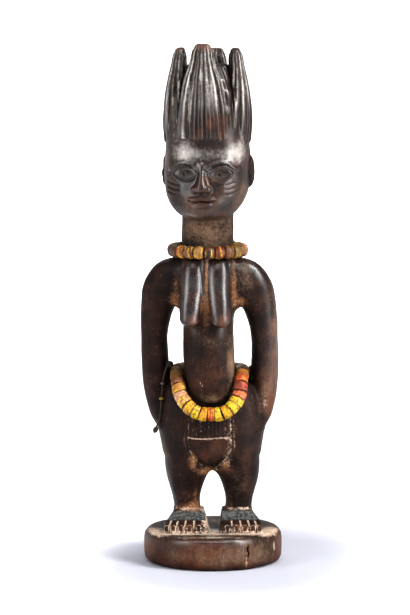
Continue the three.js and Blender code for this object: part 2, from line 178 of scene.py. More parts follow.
# %% [markdown]
# ## The waist string's loose end
# A thin dark cotton string is knotted beside the figure's right arm, and its short end hangs down the
# inside of the arm to a last knot. A curve with a round bevel would look like wire, so the string is
# a tube whose section has three lobes that turn as it goes, as three plied strands do.


# %% A skin over rings of points
def mesh_object(name, points, faces):
    mesh = bpy.data.meshes.new(name)
    mesh.from_pydata([tuple(p) for p in points], [], faces)
    mesh.shade_smooth()
    return put_in(name, mesh)


def net(rings, sides, looped=True, first=0):
    """Faces from ring to ring, each with so many sides. Looped joins the last ring to the first."""
    faces = []
    for i in range(rings if looped else rings - 1):
        here, there = first + i * sides, first + (i + 1) % rings * sides
        faces += [(here + k, here + (k + 1) % sides, there + (k + 1) % sides, there + k) for k in range(sides)]
    return faces


def circle(count):
    return np.linspace(0, 2 * np.pi, count, endpoint=False)


def unit(vectors):
    return vectors / np.maximum(np.linalg.norm(vectors, axis=-1, keepdims=True), 1e-6)


print("a ring of six with four sides has", len(net(6, 4)), "faces")


# %% A plied string
STRING_SIDES, RING_GAP, STRAND_DEPTH = 12, 0.3, 0.24


def plied(name, points, diameter, closed=False, lay=3.0, knots=()):
    """A three-strand string along a line of points, in mm. A knot is (place in mm, radius, length)."""
    rings = int(along(points, 60, closed)[1] / RING_GAP)
    line, length = along(points, rings, closed)
    way = unit(np.roll(line, -1, 0) - np.roll(line, 1, 0) if closed else np.gradient(line, axis=0))
    side = unit(np.cross(way, (0.3, 0.9, 0.31)))
    over = np.cross(way, side)
    place = np.arange(rings) * length / rings
    size = np.full(rings, diameter / 2)
    for at, radius, reach in knots:
        size = np.maximum(size, radius * np.sqrt(np.clip(1 - ((place - at) / reach) ** 2, 0, 1)))
    turns = round(length / lay) if closed else length / lay
    angle = circle(STRING_SIDES)
    strand = np.abs(np.cos(1.5 * (angle - (place / length * turns * 2 * np.pi)[:, None])))
    reach = size[:, None] * (1 - STRAND_DEPTH + STRAND_DEPTH * strand)
    out = np.cos(angle)[:, None] * side[:, None] + np.sin(angle)[:, None] * over[:, None]
    ring = line[:, None] + reach[..., None] * out
    faces = net(rings, STRING_SIDES, closed)
    if not closed:
        last = (rings - 1) * STRING_SIDES
        faces += [tuple(reversed(range(STRING_SIDES))), tuple(range(last, last + STRING_SIDES))]
    return mesh_object(name, ring.reshape(-1, 3) * MM, faces), line * MM, length * MM


# %% The loose end
TAIL_POINTS = [
    (-21.5, -0.8, 102.2), (-22.5, -1.8, 103.4), (-23.6, -3.0, 103.0), (-24.5, -3.9, 101.2),
    (-25.7, -4.1, 97.0), (-26.2, -4.1, 92.8), (-26.8, -5.1, 86.0), (-27.3, -6.3, 79.0), (-28.1, -6.5, 74.0),
    (-29.3, -6.0, 71.3),
]
TAIL_DIAMETER = 1.2
tail, tail_path, tail_length = plied("loose_end", TAIL_POINTS, TAIL_DIAMETER, lay=2.2, knots=[(1.9, 1.9, 2.0)])
print("the loose end is", round(tail_length / MM, 1), "mm long")

# %% [markdown]
# ## Carving with distances
# The figure has soft transitions, undercuts, flutes and fine cuts, all in one skin. Modelling that
# face by face takes long, and boolean cuts leave sharp joins. Instead the wood is described by a
# distance for each point of a grid: below zero is wood. Two forms blend where the smaller of their
# distances is rounded off, and a cut is a form taken away. OpenVDB then draws the skin at zero.

# %% The grid
STEP = 0.42
CORNER = np.array([-38.4, -37.8, -18.4])
AXES = [np.arange(a, b, STEP, dtype=np.float32) for a, b in zip(CORNER, (38.4, 37.8, 254.6))]
field = np.full([len(a) for a in AXES], 6.0, np.float32)
print("grid", field.shape, round(field.size / 1e6, 1), "million points")


def window(low, high, margin=3.5):
    """The grid between two corners: its slices, and x, y and z to reckon with."""
    cut = tuple(
        slice(max(0, int((a - margin - o) / STEP)), max(1, int((b + margin - o) / STEP) + 2))
        for a, b, o in zip(low, high, CORNER)
    )
    x, y, z = (axis[c] for axis, c in zip(AXES, cut))
    return cut, x[:, None, None], y[None, :, None], z[None, None, :]


# %% Join and cut
def softer(a, b, round_off):
    """The smaller of two distances, rounded off where they meet: both forms in one."""
    meet = np.maximum(round_off - np.abs(a - b), 0)
    return np.minimum(a, b) - meet * meet / (4 * round_off)


def shared(a, b, round_off):
    """The larger of two distances, rounded off where they meet: only what both forms hold."""
    return -softer(-a, -b, round_off)


def put_on(form, round_off):
    cut, d = form
    field[cut] = softer(field[cut], d.astype(np.float32), round_off)


def cut_out(form, round_off):
    cut, d = form
    field[cut] = -softer(-field[cut], d.astype(np.float32), round_off)


def tell(what):
    print(what + ":", int((field < 0).sum() * STEP**3 / 1000), "cubic cm of wood")


# %% Forms: a mass of level sections
def squared(u, v, shape, half, deep):
    """Distance to a superellipse, from the shares u and v of its half axes."""
    q = u**shape + v**shape
    r = np.maximum(q ** (1 / shape), 0.05)
    pull = np.sqrt((u ** (shape - 1) / half) ** 2 + (v ** (shape - 1) / deep) ** 2) + 1e-3
    return np.where(r < 0.3, -0.7 * np.minimum(half, deep), (q - q / r) / pull)


def mass(rows, shape, side=0.0, edge=1.0):
    """Rows of [height, half width, front y, back y, middle x]."""
    rows = np.array([(*r, 0.0)[:5] for r in rows])
    middle = side * rows[:, 4]
    cut, x, y, z = window(
        (np.min(middle - rows[:, 1]), rows[:, 2].min(), rows[0, 0]),
        (np.max(middle + rows[:, 1]), rows[:, 3].max(), rows[-1, 0]),
    )
    half, front, back, centre = (c.astype(np.float32) for c in smooth(rows, z[0, 0]).T)
    deep = (back - front) / 2
    across, along_y = np.abs(x - side * centre) / half, np.abs(y - (front + back) / 2) / deep
    d = squared(across, along_y, shape, half, deep)
    return cut, shared(d, np.maximum(rows[0, 0] - z, z - rows[-1, 0]), edge)


# %% Forms: a limb along a line
def limb(rows, side):
    """Rows of [x, y, z, half thickness across, half depth in y]. Its section is an oval."""
    rows = np.array(rows, float) * [side, 1, 1, 1, 1]
    run = np.r_[0, np.cumsum(np.hypot(*np.diff(rows[:, [0, 2]], axis=0).T))]
    stops = np.linspace(0, run[-1], 150)
    line = smooth(np.c_[run, rows], stops)
    way = unit(np.gradient(line[:, [0, 2]], stops, axis=0))
    reach = line[:, [3, 4, 3]].max(0)
    cut, x, y, z = window(line[:, :3].min(0) - reach, line[:, :3].max(0) + reach, 2.0)
    px, pz = x[:, :, 0], z[0]
    near = ((px[..., None] - line[:, 0]) ** 2 + (pz[..., None] - line[:, 2]) ** 2).argmin(-1)
    s = stops[near] + (px - line[near, 0]) * way[near, 0] + (pz - line[near, 2]) * way[near, 1]
    beyond = np.maximum(-s, s - run[-1])
    cx, cy, cz, across, deep = (np.interp(s, stops, c) for c in line.T)
    wx, wz = (np.interp(s, stops, c) for c in way.T)
    off = np.abs((px - cx) * wz - (pz - cz) * wx)
    flat = [a[:, None, :].astype(np.float32) for a in (off / across, cy, across, deep, beyond)]
    off, cy, across, deep, beyond = flat
    d = squared(off + 0 * y, np.abs(y - cy) / deep, OVAL, across, deep)
    return cut, shared(d, beyond, 0.8)


# %% Forms: an egg
def egg(centre, radii):
    centre, radii = np.array(centre, float), np.array(radii, float)
    cut, x, y, z = window(centre - radii, centre + radii)
    u, v, w = (a - c for a, c in zip((x, y, z), centre))
    a, b, c = radii
    near = np.sqrt((u / a) ** 2 + (v / b) ** 2 + (w / c) ** 2)
    steep = np.sqrt((u / a**2) ** 2 + (v / b**2) ** 2 + (w / c**2) ** 2)
    return cut, np.where(near < 0.3, -0.7 * radii.min(), near * (near - 1) / np.maximum(steep, 1e-3))


# %% [markdown]
# ## Legs, hips and body
# Short bent legs carry broad hips that end in a shelf. Out of it rises a column whose front is the
# belly. Level sections give these masses, and a blend of a few millimetres joins leg to hip, while
# the belly's tongue keeps a crisp edge, as the knife left it. Small eggs of wood beside the waist
# beads close the slits between the arms and the hips.

# %% Legs, hips and body
LEG = [
    (2, 6.9, -6.2, 8.8, 13.1), (11, 6.9, -6.2, 8.8, 13.4), (16, 7.2, -6.6, 9.8, 13.8),
    (23, 9, -9, 11.6, 13.9), (29, 10.9, -11, 12.4, 13.4), (36, 12.2, -12.2, 14.2, 12.7),
    (40, 12.1, -12.2, 14.8, 12.7), (45, 11.2, -11.8, 14.8, 12.6), (51, 9.6, -10.4, 13, 12.4),
    (57, 7.6, -8, 9, 12.2),
]
HIPS = [
    (31.5, 7, -7, 8), (36, 16.5, -11, 12.6), (40, 23.8, -12.8, 15.6), (43.5, 25.6, -13.6, 17.4),
    (50, 27.4, HIP_FRONT, 19.2), (62, 27, HIP_FRONT + 0.3, 18.6), (71, 24.6, -13, 15.6),
    (75.4, 22, -11.8, 13.4), (HIP_SHELF, 18.5, -10.6, 11.8),
]
BODY = [
    (BELLY, 3.6, -15, -5), (BELLY + 1.8, 6.4, -17.2, -3), (BELLY + 4.7, 9.2, -18.9, 2),
    (BELLY + 8.2, 11.6, -19.9, 9), (80, 13, -20.2, 11.4), (87, 13.2, -19.4, 11.2), (97, 13.2, -17.6, 11),
    (108, 13.2, -14.8, 11.2), (112, 13.5, -13.8, 11.2), (115, 15, -12.4, 11), (118, 19.4, -10.6, 10.6),
    (128, 20, -10.6, 12.4), (137, 18.5, -10.4, 12.4), (142, 15.5, -8.8, 11),
]
for side in (-1, 1):
    put_on(mass(LEG, SOFT, side), 1.0)
put_on(mass(HIPS, SOFT, edge=2.5), 5.0)
put_on(mass(BODY, SOFT, edge=2.0), 0.9)
tell("legs, hips and body")

# %% Breasts, arms and neck
BREAST = [
    (6.0, -10.2, 142, 5.4, 4.6), (6.2, -11.6, 138, 6.1, 5.4), (6.7, -13.5, 126, 6.3, 5.8),
    (7.8, -16.2, 113.5, 5.4, 5.3), (8.3, -17.6, 109.4, 4.2, 3.9), (8.4, -18.4, 107.4, 1.8, 1.7),
]
ARM = [
    (7, 0.5, 131, 10.8, 8.2), (15, 0.5, 130.6, 11.9, 8.8), (20, 0.7, 129, 11.8, 9),
    (ARM_X - 4.9, 1, 125.2, 10.4, 9), (ARM_X - 2.7, 1.4, 119.4, 9.3, 8.8), (ARM_X - 1, 1.9, 112, 8, 8.5),
    (ARM_X, 2.5, 102, 7.1, 8.1), (ARM_X, 3.2, 89, 7.1, 7.9), (ARM_X - 0.5, 3.2, 77, 7, 7.7),
    (ARM_X - 1.4, 2.4, 67, 6.2, 7.2), (ARM_X - 2.4, 0.8, 59, 4.6, 6.4), (ARM_X - 3.1, -0.6, 53, 1.6, 3.8),
]
NECK = [(138, 13.8, -13, 14), (152, 13.6, -12.8, 13.8), (172, 13.4, -12.6, 13.6)]
for side in (-1, 1):
    put_on(limb(ARM, side), 2.2)
    put_on(egg((side * (ARM_X - 6.8), 7.0, 79.4), (3.2, 4.2, 5.6)), 1.0)
    put_on(egg((side * 13.2, 6.0, 79.8), (1.5, 3.2, 2.6)), 0.6)
put_on(egg((0, -12.4, 130), (3.6, 4.4, 18)), 2.0)
for side in (-1, 1):
    put_on(limb(BREAST, side), 0.5)
put_on(mass(NECK, OVAL), 1.4)
tell("with arms and neck")

# %% [markdown]
# ## Head and face
# The head is a tall rounded block. Its face is a calm one of a general kind, laid out in thirds:
# full almond eyes with rimmed lids and a drilled pupil, a broad nose, full lips and a few short
# strokes on each cheek. Each feature is an egg, a small mass or a cut, so all of them can be moved
# by one measure.

# %% Head
HEAD = [
    (CHIN - 1.4, 9, -17, 4), (CHIN + 1, 13.4, -20.2, 8), (169, 17.4, -22, 12), (175, 20.6, -22.7, 17),
    (184, 21.9, -22.9, 20.8), (196, 21.9, -22, 21.6), (HAIRLINE + 2, 21.2, -20.6, 21),
    (220, 19.6, -19.6, 19.6), (232, 16.2, -16.2, 16.2), (242.5, 10.4, -10.4, 10.4),
]
put_on(mass(HEAD, SOFT, edge=1.6), 0.9)
tell("with the head")


# %% Almond eyes
def almond(side, cut, half_length, half_height):
    """Distance in the picture plane to an almond: where two circles overlap."""
    x, z = AXES[0][cut[0]][:, None, None], AXES[2][cut[2]][None, None, :]
    radius = (half_length**2 + half_height**2) / (2 * half_height)
    u = x - side * EYE_X
    w = z - EYE - 0.06 * side * u
    return np.hypot(u, np.abs(w) + radius - half_height) - radius


for side in (-1, 1):
    cut_out(egg((side * (EYE_X + 0.2), -25.6, EYE + 0.4), (8.2, 4.4, 5.8)), 2.6)
    cut, ball = egg((side * EYE_X, -19.9, EYE), (7.0, 3.7, 4.7))
    put_on((cut, shared(ball, almond(side, cut, 5.7, 3.1), 0.7)), 0.3)
    cut, lid = egg((side * EYE_X, -19.9, EYE), (7.9, 4.5, 5.6))
    rim = np.abs(almond(side, cut, 6.2, 3.6)) - 0.55
    put_on((cut, shared(lid, rim, 0.5)), 0.35)
tell("with the eyes")

# %% Nose, lips and chin
NOSE_ROWS = [
    (NOSE - 0.7, 3.0, -25.2, -18), (NOSE + 1.2, 4.3, -26.9, -18), (NOSE + 3.6, 3.3, -26.5, -18),
    (BROW - 5.5, 2.0, -25.0, -18), (BROW - 1.5, 1.9, -24.0, -18), (BROW + 1.5, 2.6, -23, -18),
]
put_on(mass(NOSE_ROWS, OVAL, edge=1.0), 1.2)
for side in (-1, 1):
    put_on(egg((side * 3.3, -23.6, NOSE + 1.5), (2.2, 2.5, 2.0)), 0.8)
    cut_out(egg((side * 1.8, -25.0, NOSE - 0.9), (0.9, 1.1, 1.3)), 0.4)
put_on(egg((0, -18.6, MOUTH + 0.3), (9.5, 5.2, 6.2)), 3.0)
for side in (-1, 1):
    put_on(egg((side * 2.5, -23.0, MOUTH + 1.35), (4.3, 2.0, 1.5)), 0.6)
put_on(egg((0, -22.9, MOUTH - 1.5), (5.4, 2.2, 1.8)), 0.6)
put_on(egg((0, -19.2, CHIN + 3.0), (6.4, 3.6, 3.6)), 2.4)
tell("with nose and lips")

# %% Ears
for side in (-1, 1):
    put_on(egg((side * 21.6, 1.2, EYE + 0.5), (2.9, 4.7, 8.4)), 0.8)
    cut_out(egg((side * 24.3, 0.2, EYE + 1.4), (2.3, 2.9, 5.9)), 0.5)
    put_on(egg((side * 22.6, -2.0, EYE - 0.6), (1.2, 1.3, 2.2)), 0.6)
tell("with the ears")

# %% [markdown]
# ## Hair
# Four lobes of plaited hair rise from a shared cap. Each is carved in rounded ridges from its
# straight lower edge to its worn tip, so the ridges crowd together as the lobe narrows. A wave of the
# right count over the lobe's outer face does that by itself: the wave counts ridges, not millimetres.
# The cap has finer ridges of its own between the lobes, and stays plain at the front.


# %% Ridges on the cap
def flute(turns):
    """How deep a point lies between rounded ridges, 0 on a ridge and 1 in a groove."""
    return np.abs(2 * (turns - np.floor(turns)) - 1) ** 2.3


CAP_RIDGES, CAP_DEPTH = 34, 0.7
cut, x, y, z = window((-22, -22, HAIRLINE + 1), (22, 22, 244), 0)
turns = CAP_RIDGES * np.arctan2(y, x) / (2 * np.pi) + 0.004 * (z - HAIRLINE)
field[cut] += CAP_DEPTH * ease(-21, -15, y) * ease(HAIRLINE + 3, HAIRLINE + 12, z) * flute(turns)
tell("with ridges on the cap")

# %% Lobes
# the share of the height, then how far out the outer and the inner side stand, and the half width
LOBE_ROWS = [
    (0, 22.6, 2, 10.8), (0.25, 23.2, 4, 11.1), (0.42, 22.7, 6.5, 10.9), (0.62, 21.3, 9.2, 9.6),
    (0.82, 19.1, 10.8, 6.5), (0.95, 17.6, 11.4, 4.9), (1, 16.2, 12.4, 3.4),
]
# azimuth, top, bottom, how much wider its foot is, ridges on half its round, how far it's filled inwards
LOBES = [
    (-92.5, 253, HAIRLINE, 3.0, 9, 0), (0, 250.6, HAIRLINE - 2, 3.0, 7, 0),
    (79, 250.4, HAIRLINE - 2, 3.0, 8, 7.5), (180, 250.8, HAIRLINE - 2, 3.0, 7, 0),
]


def in_lobe(x, y, share, azimuth, spread, filled):
    """Where points lie in a lobe's section, as shares of its half depth and half width, and those two."""
    c, s = math.cos(math.radians(azimuth)), math.sin(math.radians(azimuth))
    outer, inner, half = smooth(LOBE_ROWS, share).T.astype(np.float32)
    half = half + spread * (1 - ease(0, 0.75, share))
    inner = inner - filled * ease(0.5, 0.8, share) * (1 - 0.5 * ease(0.93, 1, share))
    thick = (outer - inner) / 2
    return (x * c + y * s - (outer + inner) / 2) / thick, (-x * s + y * c) / half, thick, half


def lobe(azimuth, top, bottom, spread, ridges, filled):
    c, s = math.cos(math.radians(azimuth)), math.sin(math.radians(azimuth))
    corners = np.array([(r * c - a * s, r * s + a * c) for r in (0, 23.6) for a in (-17, 17)])
    cut, x, y, z = window((*corners.min(0), bottom), (*corners.max(0), top), 2.0)
    share = ((z - bottom) / (top - bottom))[0, 0]
    u, v, thick, half = in_lobe(x, y, share, azimuth, spread, filled)
    d = squared(np.abs(u), np.abs(v), SOFT, thick, half)
    back = (-1.6, -1.1) if filled else (-1.0, -0.6)
    depth = 1.3 * (half / 10.7) ** 0.6 * (1 - ease(0.93, 0.97, share)) * ease(*back, u)
    tip_line = 0.35 * np.exp(-(((share - 0.955) / 0.008) ** 2))
    d = d + depth * flute(ridges * (np.arctan2(v, u) / np.pi + 0.5)) + tip_line
    return cut, shared(d, np.maximum(bottom - z, z - top), 1.2)


for lobe_values in LOBES:
    put_on(lobe(*lobe_values), 0.5)
tell("with the hair")

# %% [markdown]
# ## Feet and base
# The feet are wedges with upright sides and flat tops that slope to five toes. The base is the rest
# of the block, turned roughly round, with rubbed rims, a long drying crack and a few chips.

# %% Where a point lies on a foot
# front to back, then the middle, the half width and the height of the top
FOOT_ROWS = [
    (-18.6, 15.4, 10.2, 2.4), (-17, 15.4, 10.4, 3.5), (-13, 15.0, 10.1, 5.5), (-11.4, 14.6, 9.7, 6.4),
    (-6.2, 12.9, 8.3, 10.0), (4, 12.7, 7.9, 10.6), (12, 12.6, 6.8, 7.6),
]
# the edges between toes, in shares of the half width from the big toe outwards
TOE_EDGES = [-1.0, -0.52, -0.08, 0.33, 0.69, 1.0]
NAIL_Y, NAIL_HALF_WIDTH, NAIL_HALF_LENGTH = -17.3, 1.15, 1.25


def on_foot(side, x, y):
    """The share of the half width, the half width, the top, the toe counted from 0, the mm to the
    next gap between toes, and how far the nail's middle is, in sizes of the nail."""
    middle, half, top = np.moveaxis(smooth(FOOT_ROWS, y), -1, 0).astype(np.float32)
    share = (side * x - middle) / half
    off_gap = np.min([np.abs(share - gap) * half for gap in TOE_EDGES[1:-1]], axis=0)
    toe = np.interp(np.clip(share, -1, 1), TOE_EDGES, np.arange(6.0))
    toe_width = half * np.interp(toe - 0.5, range(5), np.diff(TOE_EDGES))
    across = (toe - np.floor(toe) - 0.5) * toe_width / NAIL_HALF_WIDTH
    return share, half, top, toe, off_gap, np.hypot(across, (y - NAIL_Y) / NAIL_HALF_LENGTH)


print("the big toe is", round(10.4 * (TOE_EDGES[1] - TOE_EDGES[0]), 1), "mm wide")

# %% Feet
for side in (-1, 1):
    cut, x, y, z = window((min(side * 4, side * 26), -18.6, -1), (max(side * 4, side * 26), 12, 11), 2.5)
    share, half, top, toe, off_gap, nail = on_foot(side, x, y)
    bulge = (2 * (toe - np.floor(toe)) - 1) ** 2 * (1 - ease(-14.5, -11.5, y))
    tip = -18.5 + 1.7 * np.maximum(share - 0.2, 0) ** 2 + 0.7 * bulge
    splay = (0.30 if side < 0 else 0.16) * np.clip(10 - z, 0, 10)
    wall = np.maximum(share * half - half, -share * half - half - splay)
    d = shared(wall, (z - top + 0.45 * bulge) * 0.9, 0.9)
    d = shared(d, tip - y, 1.2)
    d = shared(d, y - 12.2, 3.0)
    d = d + np.maximum(1 - off_gap / 0.62, 0) * (1 - ease(-12.6, -11.4, y))
    d = d + 0.4 * np.exp(-(((nail - 1.1) / 0.22) ** 2)) * (y < -15.4)
    put_on((cut, d), 0.5)
tell("with the feet")

# %% Base
cut, x, y, z = window((-37, -37, -17.5), (37, 37, 0.5), 0.5)
rounding = np.where(z > -BASE_HEIGHT / 2, 2.6, 3.4)
angle = np.arctan2(y, x)
out = np.hypot(x, y) + 0.12 * np.sin(3 * angle + 1) + 0.1 * np.sin(7 * angle)
out = out + 0.06 * np.sin(17 * angle + z / 5) + 0.8 * ((z + BASE_HEIGHT / 2) / (BASE_HEIGHT / 2)) ** 2
a = out - (BASE_RADIUS - 0.15 - rounding)
b = np.abs(z + BASE_HEIGHT / 2) - (BASE_HEIGHT / 2 - rounding)
d = np.hypot(np.maximum(a, 0), np.maximum(b, 0)) + np.minimum(np.maximum(a, b), 0) - rounding
put_on((cut, d), 0.7)
tell("with the base")

# %% Crack and chips
CRACK_X, CRACK_DEPTH_Y = 17.9, -29
CHIPS = [
    ((-30, -19.6, 0.4), (3.0, 2.2, 1.1)), ((34.6, -9.5, -0.6), (1.6, 3.4, 1.4)),
    ((26, -25.2, -16.6), (3.4, 2.0, 1.6)), ((-12, -34.4, -16.8), (4.2, 1.6, 1.3)),
    ((-35.4, 4, -15.8), (1.5, 4.4, 1.8)), ((9, 35.2, -1.2), (4.0, 1.3, 1.6)),
    ((0.5, -35.6, 0.3), (2.6, 1.3, 0.8)),
]
cut, x, y, z = window((15, -38, -17), (21, -26, -4), 0.5)
off = np.abs(x - (CRACK_X + 0.25 * np.sin(z * 1.3) + 0.12 * np.sin(z * 3.1 + 1)))
wide = 0.14 + 0.18 * ease(-12.5, -9, z) * (1 - ease(-5.2, -4.2, z))
field[cut] = np.maximum(field[cut], -np.maximum(off - wide, y - CRACK_DEPTH_Y + 0.5 * off))
for chip in CHIPS:
    cut_out(egg(*chip), 0.4)
tell("without the chips")

# %% [markdown]
# ## Cut lines
# The pubic apron, the lips' seam, the brows and the cheek strokes are shallow lines on surfaces that
# face the front. They are drawn on a flat sheet of paper first, in x and z, and the sheet is pressed
# onto the front: what is drawn sinks in, or stands up, by its depth. A second sheet keeps how much
# pale earth each line holds, for the finish to read.

# %% Draw on the sheet
sheet = np.zeros((len(AXES[0]), len(AXES[2])), np.float32)
earth = sheet.copy()
SHEET_X, SHEET_Z = AXES[0][:, None], AXES[2][None, :]


def off_line(points):
    """How far every place of the sheet is from a line, in mm."""
    nearest = np.full(sheet.shape, 99.0, np.float32)
    for (ax, az), (bx, bz) in zip(points[:-1], points[1:]):
        dx, dz = bx - ax, bz - az
        t = np.clip(((SHEET_X - ax) * dx + (SHEET_Z - az) * dz) / (dx * dx + dz * dz), 0, 1)
        nearest = np.minimum(nearest, np.hypot(SHEET_X - ax - t * dx, SHEET_Z - az - t * dz))
    return nearest


def stroke(points, wide, height, filled=0.0):
    """A line of the sheet, in mm: a cut where the height is below zero, a ridge above it. Earth may fill it."""
    nearest = off_line(points)
    sheet[:] += height * np.maximum(1 - (nearest / wide) ** 2, 0) ** 1.5
    earth[:] = np.maximum(earth, filled * (1 - ease(0.35 * wide, 1.3 * wide, nearest)))


def panel(points, height, soft=0.9):
    """A field of the sheet with a line round it, raised by a height in mm, with a soft edge."""
    nearest, inside = off_line(points + points[:1]), np.zeros(sheet.shape, bool)
    for (ax, az), (bx, bz) in zip(points, points[1:] + points[:1]):
        across = SHEET_X < ax + (SHEET_Z - az) * (bx - ax) / (bz - az or 1e-6)
        inside ^= ((SHEET_Z < az) != (SHEET_Z < bz)) & across
    sheet[:] += height * ease(-soft, soft, np.where(inside, nearest, -nearest))


# %% Brows, cheeks and lips
BROW_LINE = [(2.6, -1.6), (5.5, 1.0), (9.5, 2.1), (13.5, 1.4), (17, -1.4)]
LIP_SEAM = [(-6.6, 0.5), (-3, -0.1), (0, 0.3), (3, -0.1), (6.6, 0.5)]
for side in (-1, 1):
    stroke([(side * a, BROW + b) for a, b in BROW_LINE], 1.5, 0.85)
    for low in (181.0, 178.4, 175.8):
        stroke([(side * 12.2, low), (side * 18.0, low + 1.5)], 0.55, -0.6)
stroke([(a, MOUTH + b) for a, b in LIP_SEAM], 0.6, -0.9)
print("lines so far cover", int((sheet != 0).sum() * STEP**2), "square mm")

# %% Apron lines
SHIELD = [
    (-10.6, 48.4), (-10.5, 43.2), (-8.8, 40.4), (-6.2, 37.8), (-3.6, 35.6), (-1.0, 34.2), (1.6, 35.6),
    (4.2, 37.8), (6.8, 40.4), (8.5, 43.2), (8.6, 48.4),
]
UPRIGHTS_FILLED = (0.42, 0.3, 0.4, 0.25, 0.44, 0.3, 0.36, 0.42, 0.46)
# a small curl scratched on the belly
CURL = [(-5.0, 79.2), (-3.8, 79.0), (-3.1, 77.9), (-3.9, 77.0), (-4.6, 77.7), (-4.3, 78.6)]
panel(SHIELD, 1.2, 0.6)
stroke([(x - 0.8 * (x < -1) + 0.6 * (x > -1), z - 0.7) for x, z in SHIELD[1:6]], 0.75, -0.8, 0.26)
stroke([(x + 0.6, z - 0.7) for x, z in SHIELD[5:-1]], 0.75, -0.8, 0.34)
panel([(-10.8, 49.6), (-10.9, 60), (8.9, 60), (8.8, 49.6)], 0.6)
stroke([(-12.0, 49.3), (-5, 48.8), (2, 49.2), (10.0, 49.6)], 0.6, -0.5, 0.74)
for k, filled in enumerate(UPRIGHTS_FILLED):
    stroke([(-9.6 + 2.1 * k, 50.2), (-9.8 + 2.15 * k, 59)], 0.5, -0.55, filled)
for k in range(-5, 6):
    stroke([(k * 1.6 - 1, 47.4), (k * 1.15 - 0.9, 37.0 + 0.2 * k * k)], 0.4, -0.35)
stroke(CURL, 0.45, -0.12, 0.62)
for side, gap, filled in ((-1, 1.3, 0.50), (-1, 3.0, 0.36), (1, 1.3, 0.66), (1, 3.0, 0.52)):
    outline = [(9.7 + gap, 59), (9.8 + gap, 44), (7.6 + gap, 39.4), (4.4 + 0.8 * gap, 35.4),
               (1.6 + 0.5 * gap, 33 - 0.4 * gap)]
    stroke([(side * a - 1, z) for a, z in outline], 0.5, -0.5, filled)
print("with the apron's:", int((sheet != 0).sum() * STEP**2), "square mm")

# %% Gaps beside the side lobes
for edge_line in (
    [(-10.8, 245), (-11.4, 237), (-12.2, 227), (-13.0, 215), (-13.8, 206)],
    [(10.8, 245), (12.5, 237), (14.0, 227), (15.4, 215), (16.6, 206)],
):
    stroke(edge_line, 1.1, -2.6 * ease(209, 236, SHEET_Z))

# %% Press the sheet on
for low_z, high_z, deepest in ((-18, 160, -9.0), (162, 203, -13.0), (205, 246, -2.0)):
    front = window((-39, -38, low_z), (39, deepest, high_z), 0)[0]
    field[front] -= sheet[front[0], front[2]][:, None, :]
tell("with its cut lines")

# %% Pupils and the furrow of the back
for side in (-1, 1):
    cut, x, y, z = window((side * EYE_X - 2, -26, EYE - 2), (side * EYE_X + 2, -20, EYE + 2), 0.5)
    away = np.hypot(x - side * EYE_X, z - EYE - 0.1)
    field[cut] += 1.3 * (1 - ease(0.5, 1.05, away)) + 0 * y
cut, x, y, z = window((-4, 5, 40), (4, 24, 136), 0)
seat = 1.2 * np.exp(-((x / 1.3) ** 2)) * ease(42, 46, z) * (1 - ease(63, 70, z))
spine = 0.7 * np.exp(-((x / 1.6) ** 2)) * ease(84, 92, z) * (1 - ease(124, 132, z))
field[cut] += seat + spine + 0 * y
tell("with pupils and furrow")

# %% [markdown]
# ## The maker's hand
# No carved surface is even. A slow wander of a tenth of a millimetre over a centimetre, and a
# faster one of half that, take the machine look away. The wander is a coarse lattice of random
# numbers, spread over the grid by smooth weights.


# %% Uneven surface
def wander(size, seed):
    """Smooth random heights between -1 and 1 all over the grid, with hills of one size in mm."""
    rng = np.random.default_rng(seed)
    weights = []
    for axis in AXES:
        knots = np.arange(axis[0] - size, axis[-1] + 2 * size, size)
        place = (axis - knots[0]) / size
        i = place.astype(int)
        t = ease(0, 1, place - i)
        w = np.zeros((len(axis), len(knots)), np.float32)
        w[np.arange(len(axis)), i] = 1 - t
        w[np.arange(len(axis)), i + 1] = t
        weights.append(w)
    hills = rng.uniform(-1, 1, [w.shape[1] for w in weights]).astype(np.float32)
    for k, w in enumerate(weights):
        hills = np.moveaxis(np.tensordot(w, hills, axes=(1, k)), 0, k)
    return hills


SLOW, QUICK = (0.14, 8.5, 5), (0.05, 3.1, 6)  # the hills' height and size in mm, and a seed
for height, size, seed in (SLOW, QUICK):
    field += height * wander(size, seed)
print("surface wanders by up to", round(SLOW[0] + QUICK[0], 2), "mm")

# %% [markdown]
# ## Skin
# OpenVDB turns the distances into a mesh of even squares, far more than a smooth arm needs. Decimate
# then keeps small triangles in the flutes and toes and lets them grow on the arms. Where the skin
# lies in a hollow or on an edge is read from the same distances, and kept on the mesh for the finish.

# %% Draw the skin
grid = vdb.FloatGrid(6.0)
grid.copyFromArray(field)
skin_points, skin_faces = grid.convertToQuads(isovalue=0.0)
skin_points = skin_points * STEP + CORNER
print("skin:", len(skin_points), "points", len(skin_faces), "squares",
      "low", skin_points.min(0).round(1), "high", skin_points.max(0).round(1))

raw = bpy.data.meshes.new("raw_skin")
raw.vertices.add(len(skin_points))
raw.vertices.foreach_set("co", skin_points.astype(np.float32).ravel())
raw.loops.add(len(skin_faces) * 4)
raw.loops.foreach_set("vertex_index", skin_faces[:, ::-1].astype(np.int32).ravel())
raw.polygons.add(len(skin_faces))
raw.polygons.foreach_set("loop_start", np.arange(0, len(skin_faces) * 4, 4, dtype=np.int32))
raw.update(calc_edges=True)
raw.validate()
figure = put_in("figure", raw)

# %% Thin it out
TRIANGLES = 190000
thin = figure.modifiers.new("thin", "DECIMATE")
thin.ratio = min(1.0, TRIANGLES / (2 * len(skin_faces)))
carved = bpy.data.meshes.new_from_object(figure.evaluated_get(bpy.context.evaluated_depsgraph_get()))
figure.modifiers.clear()
figure.data = carved
bpy.data.meshes.remove(raw)
carved.name = "figure"
points = np.empty(len(carved.vertices) * 3, np.float32)
carved.vertices.foreach_get("co", points)
points = points.reshape(-1, 3).astype(float)
print("thinned to", len(carved.polygons), "faces", len(points), "points")


